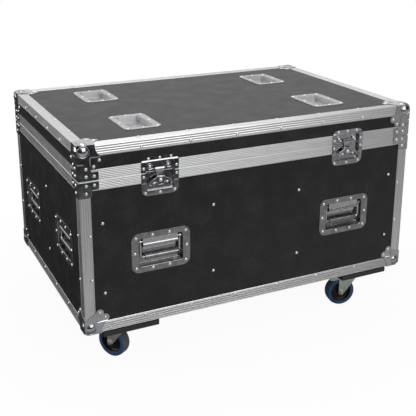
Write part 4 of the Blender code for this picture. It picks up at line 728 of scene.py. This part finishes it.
def dish(flange, mouth, recess, bowl=DISH_ROUND):
    """Pressed dish with a rolled mouth, drafted walls and a rounded floor edge."""
    draft = max(DISH_DRAFT, bowl)
    floor = (mouth[0] - draft, mouth[1] - draft, mouth[2] - draft / 2)
    levels = ((flange, 0.0), (mouth, 0.0), (floor, -recess))
    bm = lofted([[(x, y, level) for x, y in rounded(*size)] for size, level in levels])
    foot = [e for e in bm.edges if all(v.co.z < -recess / 2 for v in e.verts)]
    bevelled(bm, foot, bowl, 5)
    return soften(thick(soften(bm, DISH_ROUND, 3), SHEET), EDGE_FINE, 1)


# Latches

def open_outline(half, drop, radius, z):
    """Outline that is open at the seam: down one side, round two corners and up the other."""
    left = arc((-half + radius, -drop + radius), radius, 180.0, 270.0, 7)
    right = arc((half - radius, -drop + radius), radius, 270.0, 360.0, 7)
    return [(x, y, z) for x, y in [(-half, -LATCH_PARTING)] + left + right + [(half, -LATCH_PARTING)]]


def tray(drop, pocket_drop, rim):
    """Latch plate with its pocket, open at the seam and stepped from the edging to the panel."""
    half = POCKET_WIDTH / 2
    bm = lofted([open_outline(LATCH_WIDTH / 2, drop, LATCH_CORNER, 0.0),
                 open_outline(half, pocket_drop, POCKET_CORNER, 0.0),
                 open_outline(half - POCKET_DRAFT, pocket_drop - POCKET_DRAFT, POCKET_CORNER, -POCKET_DEPTH)],
                closed=False)
    below = -rim - GAP
    for depth in (below, below - LATCH_STEP):
        upper = [f for f in bm.faces if all(v.co.z > -GAP for v in f.verts)]
        parts = set(upper)
        for face in upper:
            parts.update(face.edges)
            parts.update(face.verts)
        bmesh.ops.bisect_plane(bm, geom=list(parts), plane_co=(0.0, depth, 0.0), plane_no=(0.0, 1.0, 0.0))
    for vert in bm.verts:
        if vert.co.z > -GAP and vert.co.y < below - LATCH_STEP / 2:
            vert.co.z -= PANEL_DEPTH
    return soften(thick(bm, SHEET), EDGE_SHEET, angle=STEP_ANGLE)


def keeper():
    """Keeper plate on the lid: its pocket, two pressed bosses and the catch."""
    floor = POCKET_FLOOR - GAP
    plate = tray(KEEPER_RISE, KEEPER_POCKET, LID_RIM)
    shapes = [placed(plate, shift(y=GAP) @ shift(z=TRAY_LEVEL) @ turn(180.0, "Z"))]
    shapes += [turned(BOSS_PROFILE, 24, shift(x, BOSS_UP, floor)) for x in both(BOSS_OUT)]
    catch = block((-CATCH_HALF, CATCH_FOOT, floor), (CATCH_HALF, CATCH_HEAD, floor + CATCH_THICK), EDGE_PLATE)
    return joined(shapes + [catch])


def cam():
    """Cam disc with its riveted spindle, and the knuckle that holds the wing's pin."""
    level = POCKET_FLOOR + HOOK_THICK + 3 * GAP
    foot = level + CAM_THICK / 2
    ear = arc((0.0, WING_OUT), KNUCKLE_RADIUS, 0.0, 180.0, 10)
    ear = [(KNUCKLE_RADIUS, foot)] + ear + [(-KNUCKLE_RADIUS, foot)]
    knuckle = prism(ear, KNUCKLE_WIDTH, shift(-KNUCKLE_WIDTH / 2, WING_UP) @ ALONG_X, EDGE_SHEET)
    spindle = prism(rounded(*SPINDLE, 4), -SPINDLE_DEPTH, shift(z=level))
    return joined([turned(CAM_PROFILE, 36, shift(z=level)), spindle, knuckle])


def hook():
    """Hook plate: under the cam, stepped out over the seam, widening to its turned-out nose."""
    low = POCKET_FLOOR + GAP
    high, out = low + HOOK_THICK, low + CATCH_THICK + 2 * GAP
    over, step = out + HOOK_THICK, -CAM_DROP + CAM_RADIUS + GAP
    outline = [(-HOOK_BOTTOM, low), (step + HOOK_THICK, low), (step + 2 * HOOK_THICK, out), (HOOK_TOP, out)]
    outline += bend_curve((HOOK_TOP, out + GAP), (HOOK_TOP - CROWN_BACK, over + CROWN_UP), (CROWN_FOOT, over), 8)
    outline += [(step + HOOK_THICK, over), (step, high), (-HOOK_BOTTOM, high)]
    bm = prism(outline, 2 * HOOK_NOSE_HALF, shift(x=-HOOK_NOSE_HALF) @ ALONG_X)
    for side in (-1, 1):
        normal = (side * (HOOK_TOP - HOOK_FLARE), -(HOOK_NOSE_HALF - HOOK_HALF), 0.0)
        cut(bm, (side * HOOK_HALF, HOOK_FLARE, 0.0), normal, away=True)
    bmesh.ops.recalc_face_normals(bm, faces=bm.faces)
    slot = [(x, y - CAM_DROP - HOOK_SLOT_DROP) for x, y in rounded(*HOOK_SLOT, 4)]
    return soften(carved(bm, prism(slot, SLOT_CUT, shift(z=low - SLOT_BELOW))), EDGE_SHEET, 1)


def wing():
    """Butterfly wing about its pin: pressed plate with a rolled edge, and the pin."""
    top = KNUCKLE_RADIUS + WING_PIN
    half = smoothed([(WING_SPAN * out, top - WING_FALL * down) for out, down in WING_SHARES])
    notch = [(WING_NOTCH, WING_NOTCH_FOOT), (WING_NOTCH, half[0][1])]
    outline = notch + half[1:] + [(-x, y) for x, y in half[:0:-1]] + [(-x, y) for x, y in notch[::-1]]
    bm = prism(outline, WING_THICK, shift(z=-WING_THICK / 2))
    bmesh.ops.inset_region(bm, faces=[f for f in bm.faces if f.normal.z > LEVEL], thickness=WING_ROLL, depth=0.0)
    inner = [f for f in bm.faces if f.normal.z > LEVEL and len(f.verts) > 8]
    bmesh.ops.translate(bm, verts=list({v for f in inner for v in f.verts}), vec=(0.0, 0.0, -WING_SUNK))
    across = shift(x=-WING_PIN_LENGTH / 2) @ turn(90.0, "Y")
    pin = prism(polygon(WING_PIN, 12), WING_PIN_LENGTH, across, EDGE_FINE)
    return joined([soften(bm, EDGE_FINE, 1), pin])


def wing_studs():
    """Spindle's domed end in the wing's middle, and a rivet in each lobe."""
    face = WING_THICK / 2
    lobes = [placed(rivet(*LOBE_STUD), shift(x, -LOBE_DOWN, face - LOBE_SEAT)) for x in both(LOBE_OUT)]
    return joined([placed(rivet(*WING_STUD), shift(0.0, -WING_UP, face - STUD_SEAT))] + lobes)


# Handles

def run(bm, edges, way):
    """Draws an open end of a wire, or a line, straight on and gives its new end."""
    made = bmesh.ops.extrude_edge_only(bm, edges=edges)["geom"]
    verts = {part for part in made if isinstance(part, bmesh.types.BMVert)}
    bmesh.ops.translate(bm, verts=list(verts), vec=way)
    return [part for part in made if isinstance(part, bmesh.types.BMEdge) and verts.issuperset(part.verts)]


def swing(bm, edges, centre):
    """Draws an open end of a wire round a quarter bend and gives its new end."""
    verts = list({v for e in edges for v in e.verts})
    made = bmesh.ops.spin(bm, geom=verts + edges, cent=centre, axis=(0, 0, 1), angle=math.pi / 2, steps=6)
    return [part for part in made["geom_last"] if isinstance(part, bmesh.types.BMEdge)]


def bail():
    """Sprung handle about its pivot rod: bent wire with its rod and two collars, and its thicker grip apart."""
    fall, straight = PIVOT_UP + GRIP_DOWN, BAIL_LEG_OUT - BAIL_BEND
    bm = bmesh.new()
    start = shift(-BAIL_LEG_OUT) @ turn(90.0, "X")
    ring = bmesh.ops.create_circle(bm, segments=16, radius=BAIL_WIRE, matrix=start)
    edges = list({e for v in ring["verts"] for e in v.link_edges})
    edges = run(bm, edges, (0.0, BAIL_BEND - fall, 0.0))
    edges = swing(bm, edges, (-straight, BAIL_BEND - fall, 0.0))
    edges = run(bm, edges, (2 * straight, 0.0, 0.0))
    edges = swing(bm, edges, (straight, BAIL_BEND - fall, 0.0))
    run(bm, edges, (0.0, fall - BAIL_BEND, 0.0))
    bmesh.ops.holes_fill(bm, edges=[e for e in bm.edges if len(e.link_faces) == 1])
    bmesh.ops.recalc_face_normals(bm, faces=bm.faces)
    across = turn(90.0, "Y")
    collars = [turned(mirrored(COLLAR_PROFILE), 20, shift(x=x) @ across) for x in both(COLLAR_OUT)]
    wire = joined([bm, turned(mirrored(PIVOT_PROFILE), 16, across)] + collars)
    return wire, turned(mirrored(GRIP_PROFILE), 24, shift(y=-fall) @ across)


def spring_cover():
    """Sheet over the pivot's spring: set in below the mouth's edge, rolled out in a bead, with its plate."""
    line = [*COVER_HEAD, *arc(COVER_ROLL, COVER_ROLL_RADIUS, *COVER_ROLL_ARC, 12), COVER_LIP]
    skin = bmesh.new()
    verts = [skin.verts.new((-COVER_HALF, y, z)) for y, z in line]
    run(skin, [skin.edges.new(pair) for pair in zip(verts, verts[1:])], (2 * COVER_HALF, 0.0, 0.0))
    cover = soften(thick(facing_up(skin), COVER_SHEET), EDGE_FINE, 1)
    seats = [shift(x, COVER_RIVET_UP, COVER_RIVET_OUT) for x in both(COVER_RIVET_X)]
    return joined([cover, block(*COVER_PLATE, COVER_PLATE_EDGE), spread(rivet(*COVER_RIVET), seats)])


# Castors

def castor_plate():
    """Top plate with its ball race and four hexagon bolts."""
    top = CASTOR_HEIGHT - GAP
    shapes = [prism(rounded(*PLATE_SIZE), PLATE_THICK, shift(z=top - PLATE_THICK), EDGE_SHEET)]
    shapes.append(turned(RACE_PROFILE, 36, shift(z=top)))
    for x, y in crossed(both(BOLT_X), both(BOLT_Y)):
        shapes.append(prism(polygon(BOLT_HEAD, 6), BOLT_HEIGHT, shift(x, y, top - BOLT_LOW), EDGE_PLATE))
        shapes.append(prism(polygon(WASHER, 24), WASHER_HEIGHT, shift(x, y, top - WASHER_LOW)))
    return joined(shapes)


def fork():
    """Pressed fork: two tapering legs with rounded eyes, crown, swivel head, axle bolt and nut."""
    rear, upright = TRAIL + FORK_EYE, turn(90.0, "X")
    outline = [(rear, FORK_TOP)] + arc((TRAIL, WHEEL_RADIUS), FORK_EYE, *FORK_EYE_ARC, 10)
    outline += bend_curve(*FORK_FRONT, 4)
    shapes = [prism(outline, FORK_SHEET, shift(y=y) @ upright, EDGE_LEG) for y in (-FORK_INNER, FORK_OUTER)]
    low = (FORK_FRONT[-1][0], -FORK_OUTER, FORK_TOP - FORK_SHEET)
    shapes.append(block(low, (rear, FORK_OUTER, FORK_TOP), CROWN_EDGE))
    shapes += [turned(HEAD_PROFILE, 36, shift(z=FORK_TOP)), turned(KINGPIN_PROFILE, 20, shift(z=FORK_TOP))]
    axle, end = shift(TRAIL, 0.0, WHEEL_RADIUS) @ upright, -FORK_OUTER - AXLE_PROUD
    shapes.append(turned(mirrored([(0.0, end), (AXLE_RADIUS, end)]), 20, axle))
    for low in (-FORK_OUTER - NUT_PROUD, FORK_OUTER + NUT_SEAT):
        shapes.append(prism(polygon(NUT, 6), NUT_HEIGHT, axle @ shift(z=low), EDGE_FOLD))
    for low in (-FORK_OUTER - AXLE_WASHER_PROUD, FORK_OUTER - AXLE_WASHER_SUNK):
        shapes.append(prism(polygon(AXLE_WASHER, 24), AXLE_WASHER_HEIGHT, axle @ shift(z=low), EDGE_FINE))
    return joined(shapes)


def wheel_parts():
    """Tyre, tread and hub of a wheel, turned about its axle."""
    place = shift(TRAIL, 0.0, WHEEL_RADIUS) @ turn(90.0, "X")
    tyre = [*TYRE_FOOT, *arc(SHOULDER, SHOULDER_RADIUS, *SHOULDER_ARC, 5)]
    radius, half = tyre[-1]
    tread = [(radius - TREAD_LAP, half - TREAD_LAP), (radius + TREAD_PROUD, half), *TREAD_CROWN]
    return [turned(mirrored(section), 56, place) for section in (tyre, tread, HUB_PROFILE)]


def pedal():
    """Brake pedal: foot plate turned down at its end, with its eye and the cheek on each side of the fork."""
    upright, outer = turn(90.0, "X"), FORK_OUTER + CHEEK_SHEET
    side = [(PEDAL_X + x, PEDAL_Z - PEDAL_DROP + z) for x, z in PEDAL_SIDE]
    shapes = [prism(side, 2 * PEDAL_HALF, shift(y=PEDAL_HALF) @ upright, EDGE_PLATE)]
    eye = shift(PEDAL_X, outer, PEDAL_Z) @ upright
    shapes.append(prism(polygon(PEDAL_PIVOT, 24), 2 * outer, eye, EDGE_FINE))
    cheek = smoothed([(PEDAL_X + x, PEDAL_Z + z) for x, z in CHEEK_SIDE])
    for y in (-FORK_OUTER - GAP, outer + GAP):
        shapes.append(prism(cheek, CHEEK_SHEET, shift(y=y) @ upright, EDGE_PLATE))
    return joined(shapes)


# Putting the pieces on their bodies

for name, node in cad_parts.items():
    finish = LAMINATE
    if name.startswith("castor_board"):
        finish = BOARD
    elif name.startswith("cross_divider"):
        finish = BIRCH["x"]
    elif name == "long_divider":
        finish = BIRCH["y"]
    for slot in node.material_slots:
        slot.material = finish

for body, z, up, rim, low, high in (
        ("base", BODY_Z, 1.0, base_rim_section(), BODY_Z + STRIP_END, SEAM_Z - BASE_RIM - GAP),
        ("lid", TOP_Z, -1.0, lid_rim_section(), SEAM_Z + LID_RIM + GAP, TOP_Z - STRIP_END)):
    for way, faces, axis, replaced in (("lengthwise", FRONT_BACK, "x", [f"{body}_edging"]),
                                       ("crosswise", SIDES, "y", [])):
        lengths = flat_strips(faces, z, up) + [rim_side(face, rim) for face in faces]
        piece(f"{body}_edging_{way}", lengths, ALUMINIUM[axis], body, replaced)
    piece(f"{body}_edging_posts", posts(low, high), ALUMINIUM["z"], body)

corner, folded = ball_corner(), brace()
piece("base_ball_corners", [spread(corner, corner_frames(BODY_Z))], CHROME, "base")
piece("lid_ball_corners", [spread(corner, corner_frames(TOP_Z, True))], CHROME, "lid")
piece("base_braces", [spread(folded, corner_frames(SEAM_Z, True))], CHROME, "base")
piece("lid_braces", [spread(folded, corner_frames(SEAM_Z))], CHROME, "lid")
lid_hinges = [face_frame("back", number * HINGE_SPACING, HINGE_Z) for number in (-1, 0, 1)]
base_hinges = [place @ turn(180.0, "Z") for place in lid_hinges]
piece("base_hinge_leaves", [spread(hinge(False), base_hinges)], CHROME, "base")
piece("lid_hinge_leaves", [spread(hinge(True), lid_hinges)], CHROME, "lid")

bowl, cover = dish(HANDLE_FLANGE, HANDLE_MOUTH, HANDLE_RECESS), spring_cover()
wire, grip = bail()
handle_frames = []
for face, names in HANDLE_SIDES.items():
    reach = HANDLE_X if face in FRONT_BACK else HANDLE_Y
    for name, across in zip(names, both(reach)):
        spot, place = f"{face}_{name}", face_frame(face, across, BODY_Z + HANDLE_UP)
        handle_frames.append(place)
        put(f"handle_bowl_{spot}", bowl, place @ shift(z=DISH_FACE), DISH_STEEL, "base",
            replaced=[f"handle_dish_{spot}"])
        put(f"handle_spring_cover_{spot}", cover, place, CHROME, "base")
        pivot, body = place @ shift(0.0, PIVOT_UP, -BAIL_SETBACK), f"handle_bail_{spot}"
        put(f"handle_wire_{spot}", wire, pivot, CHROME, body, replaced=[body])
        put(f"handle_grip_{spot}", grip, pivot, DISH_STEEL, body)

cup = dish(CUP_FLANGE, CUP_MOUTH, CUP_RECESS, CUP_ROUND)
QUARTERS = {"front_left": (-1, -1), "front_right": (1, -1), "back_left": (-1, 1), "back_right": (1, 1)}
cup_places = [shift(x * CUP_X, y * CUP_Y, TOP_Z + DISH_FACE) for x, y in QUARTERS.values()]
for name, place in zip(QUARTERS, cup_places):
    put(f"lid_castor_bowl_{name}", cup, place, CUP_STEEL, "lid", replaced=[f"lid_castor_dish_{name}"])

base_tray = tray(LATCH_DROP, POCKET_DROP, BASE_RIM)
lid_keeper, latch_cam, latch_hook, latch_wing, studs = keeper(), cam(), hook(), wing(), wing_studs()
for name, side in (("left", -1), ("right", 1)):
    latch, place = f"latch_{name}_", latch_frame(side)
    pin = place @ shift(0.0, WING_UP - CAM_DROP, WING_OUT)
    put(latch + "tray", base_tray, place @ shift(z=TRAY_LEVEL), CHROME, "base", replaced=[latch + "dish"])
    put(latch + "catch", lid_keeper, place, CHROME, "lid", replaced=[latch + "keeper"])
    put(latch + "disc", latch_cam, place @ shift(y=-CAM_DROP), CHROME, latch + "cam", replaced=[latch + "cam"])
    put(latch + "draw_plate", latch_hook, place, CHROME, latch + "hook", [latch + "hook"])
    put(latch + "butterfly", latch_wing, pin, CHROME, latch + "wing", replaced=[latch + "wing"])
    put(latch + "wing_studs", studs, pin, RIVET_STEEL, latch + "wing")

plate, legs, lever = castor_plate(), fork(), pedal()
tyre, tread, hub = wheel_parts()
for name, (x_side, y_side) in QUARTERS.items():
    stand = shift(x_side * BOARD_X, y_side * BOARD_Y)
    swivelled, wheel = stand @ turn(CASTOR_TURNS[name], "Z"), f"castor_{name}_wheel"
    put(f"castor_top_{name}", plate, stand, ZINC, "base", [f"castor_plate_{name}"])
    put(f"castor_legs_{name}", legs, swivelled, ZINC, f"castor_{name}_fork",
        [f"castor_fork_{name}"])
    put(f"castor_tyre_{name}", tyre, swivelled, BLUE, wheel, [f"castor_wheel_{name}"])
    put(f"castor_tread_{name}", tread, swivelled, TREAD, wheel)
    put(f"castor_hub_{name}", hub, swivelled, HUB, wheel)
    if name.endswith("right"):
        put(f"castor_pedal_{name}", lever, swivelled, ZINC, f"castor_{name}_brake",
            [f"castor_brake_{name}"])


# Rivets

def strip_rivets(z_face, z_flat, over=Matrix()):
    """Places of the rivets along the flat strips of the top or the bottom."""
    places = []
    for face in FACE_TURNS:
        for across in LENGTHWISE_RIVETS if face in FRONT_BACK else CROSSWISE_RIVETS:
            for x in both(across):
                level = shift(x, STRIP_RIVET_IN - FACE_DISTANCE[face], z_flat)
                places += [face_frame(face, x, z_face), turn(FACE_TURNS[face], "Z") @ level @ over]
    return places


def brace_rivets(spots, up):
    return [face_frame(face, side * (FACE_HALF[face] - a), SEAM_Z + up * b, GAP + CORNER_SHEET)
            for face in FACE_TURNS for side in (-1, 1) for a, b in spots]


def ear_rivets(z, flipped):
    level = shift(z=CORNER_SHEET - PANEL_DEPTH)
    ears = [shift(EAR_OUT, EAR_UP), shift(EAR_UP, EAR_OUT)]
    return [at @ place @ ear @ level
            for at in corner_frames(z, flipped) for place in corner_places() for ear in ears]


def latch_rivets(spots):
    return [latch_frame(side) @ shift(x, y, TRAY_LEVEL - PANEL_DEPTH * deep)
            for side in (-1, 1) for x, y, deep in spots]


def hinge_rivets(places):
    return [place @ shift(x, HINGE_RIVET_UP, HINGE_SHEET) for place in places for x in both(HINGE_RIVET_X)]


post_rivets = [face_frame(face, x, BODY_Z + z) for face in FACE_TURNS
               for x in both(FACE_HALF[face] - POST_RIVET_IN) for z in POST_RIVETS_UP]
panel_rivets = [face_frame(face, x, BODY_Z + z, -PANEL_DEPTH) for face in (*FRONT_BACK, *SIDES)
                for x, z in crossed(PANEL_RIVETS_X if face in FRONT_BACK else (0.0,), PANEL_RIVETS_UP)]
handle_rivets = [place @ shift(x, y, DISH_FACE) for place in handle_frames for x, y in HANDLE_RIVETS]
cup_rivets = [place @ shift(x, y) for place in cup_places for x, y in CUP_RIVETS]
head, flat_head = rivet(), rivet(*FLAT_RIVET)
places = strip_rivets(BODY_Z + BASE_STRIP_UP, BODY_Z, turn(180.0, "X"))
places += post_rivets + panel_rivets + brace_rivets(BASE_BRACE_RIVETS, -1) + ear_rivets(BODY_Z, False)
places += handle_rivets + hinge_rivets(base_hinges)
piece("base_rivets", [spread(head, places), spread(flat_head, latch_rivets(TRAY_RIVETS))], RIVET_STEEL, "base")
places = strip_rivets(TOP_Z - LID_STRIP_DOWN, TOP_Z) + ear_rivets(TOP_Z, True) + cup_rivets
places += hinge_rivets(lid_hinges) + brace_rivets(LID_BRACE_RIVETS, 1)
piece("lid_rivets", [spread(head, places), spread(flat_head, latch_rivets(KEEPER_RIVETS))], RIVET_STEEL, "lid")


# Stage, light and camera

def stage_floor():
    """White paper: it keeps the shadow by the case and is pure white beyond. For reflections it glows instead as
    a
    painted room: metal sees a bright band in front of the case, painted shade from just before the case
    backwards, a dark room farther in front, and a grey painted window on the right."""
    made, tree, place = blank("white_paper_floor_painted_reflection")
    colour = add(tree, "ValToRGB", {"Fac": speckle(tree, place, 8.0)}, [(0.3, "#f4f4f4"), (0.7, "#fbfbfb")])
    paper = add(tree, "BsdfPrincipled", {"Base Color": colour, "Roughness": 0.9})
    glow = add(tree, "Emission", {"Strength": 1.0})
    away = add(tree, "VectorMath", {0: place}, operation="LENGTH").outputs["Value"]
    path = add(tree, "LightPath")
    beyond = add(tree, "MapRange", {"Value": away, "From Min": 0.8, "From Max": 1.3, "To Min": 0.95})
    share = add(tree, "Math", {0: beyond, 1: path.outputs["Is Camera Ray"]}, operation="MULTIPLY")
    seen = add(tree, "MixShader", {0: share, 1: paper, 2: glow})
    east, north = [add(tree, "SeparateXYZ", {"Vector": place}).outputs[letter] for letter in "XY"]
    # Painted reflection: for glossy rays the floor glows as a painted room. It is dark far in front, bright in a
    # band before the case, and dark again from just before the case backwards, which paints the shade under the
    # case.
    painted_room_bands = [(0.235, "#303030"), (0.35, "#bcbcbc"), (0.76, "#bcbcbc"), (0.86, "#404040")]
    depth = add(tree, "MapRange", {"Value": north, "From Min": -2.6, "From Max": 0.0})
    room = add(tree, "ValToRGB", {"Fac": depth}, painted_room_bands)
    # Painted glow of a grey window on the right, seen only in reflections.
    window = add(tree, "MapRange", {"Value": east, "From Min": 0.9, "From Max": 1.9, "To Max": 0.42})
    painted_glow = add(tree, "Math", {0: room, 1: window}, operation="MAXIMUM")
    painted_reflection = add(tree, "Emission", {"Strength": painted_glow})
    mixed = add(tree, "MixShader", {0: path.outputs["Is Glossy Ray"], 1: seen, 2: painted_reflection})
    add(tree, "OutputMaterial", {"Surface": mixed})
    bm = bmesh.new()
    bmesh.ops.create_grid(bm, x_segments=2, y_segments=2, size=6.0)
    floor = as_object("floor", bm)
    floor.data.materials.append(made)


def studio_world():
    """White for the camera. Reflections find a white wall behind the case, a ceiling and else a dark room."""
    world = bpy.data.worlds.new("studio")
    bpy.context.scene.world = world
    world.use_nodes = True
    tree = world.node_tree
    tree.nodes.clear()
    way = add(tree, "TexCoord").outputs["Generated"]
    north, height = [add(tree, "SeparateXYZ", {"Vector": way}).outputs[letter] for letter in "YZ"]
    behind = add(tree, "MapRange", {"Value": north, "From Min": 0.3, "From Max": 0.6,
                                    "To Min": 0.06, "To Max": 0.95})
    raised = add(tree, "MapRange", {"Value": height, "From Min": -0.05, "From Max": 0.13, "To Min": 0.07})
    wall = add(tree, "Math", {0: behind, 1: raised}, operation="MULTIPLY")
    ceiling = add(tree, "MapRange", {"Value": height, "From Min": 0.38, "From Max": 0.85, "To Max": 0.75})
    room = add(tree, "Math", {0: wall, 1: ceiling}, operation="MAXIMUM")
    path = add(tree, "LightPath")
    ambient = add(tree, "Mix", {0: path.outputs["Is Glossy Ray"], 2: 0.35, 3: room}, data_type="FLOAT")
    strength = add(tree, "Mix", {0: path.outputs["Is Camera Ray"], 2: ambient, 3: 1.0}, data_type="FLOAT")
    sky = add(tree, "Background", {"Color": (1.0, 1.0, 1.0, 1.0), "Strength": strength})
    add(tree, "OutputWorld", {"Surface": sky})


def softbox(name, place, aim, size, power):
    light = bpy.data.lights.new(name, "AREA")
    light.shape = "RECTANGLE"
    light.size, light.size_y = size
    light.energy = power
    made = bpy.data.objects.new(name, light)
    made.location = place
    made.rotation_euler = (Vector(aim) - Vector(place)).to_track_quat("-Z", "Y").to_euler()
    bpy.context.scene.collection.objects.link(made)


def photo_camera():
    """Camera at the photograph's place, with angles in degrees and offsets in case widths, solved from the
    edges. Its shift is smaller than the solved one, because every view keeps it."""
    azimuth, elevation, roll = [math.radians(angle) for angle in (-25.78, 16.66, 0.08)]
    focal_pixels, photo_pixels, sensor = 782.4, 416, 36.0
    aside, lifted, away = 0.0090, 0.3396, 2.5061
    level = math.cos(elevation)
    back = Vector((math.sin(azimuth) * level, -math.cos(azimuth) * level, math.sin(elevation)))
    right = Vector((0.0, 0.0, 1.0)).cross(back).normalized()
    up = back.cross(right)
    data = bpy.data.cameras.new("camera")
    data.sensor_width = sensor
    data.lens = focal_pixels / photo_pixels * sensor
    data.shift_y = -0.15
    data.clip_end = 50.0
    camera = bpy.data.objects.new("camera", data)
    rolled_right = right * math.cos(roll) + up * math.sin(roll)
    rolled_up = up * math.cos(roll) - right * math.sin(roll)
    axes = Matrix((rolled_right, rolled_up, back)).transposed().to_4x4()
    place = Vector((0.0, 0.0, BODY_Z)) + (back * away + right * aside + up * lifted) * CASE_WIDTH
    camera.matrix_world = Matrix.Translation(place) @ axes
    bpy.context.scene.collection.objects.link(camera)
    bpy.context.scene.camera = camera


stage_floor()
studio_world()
softbox("key_front", place=(0.40, -2.45, 1.70), aim=(0.0, 0.0, 0.55), size=(2.2, 2.1), power=34.0)
softbox("side_left", place=(-2.7, 0.4, 1.25), aim=(0.0, 0.0, 0.45), size=(1.5, 1.5), power=27.0)
softbox("top", place=(0.4, 0.5, 3.2), aim=(0.0, 0.0, 0.6), size=(2.0, 1.4), power=16.0)
photo_camera()
bpy.context.scene.view_settings.view_transform = "Standard"
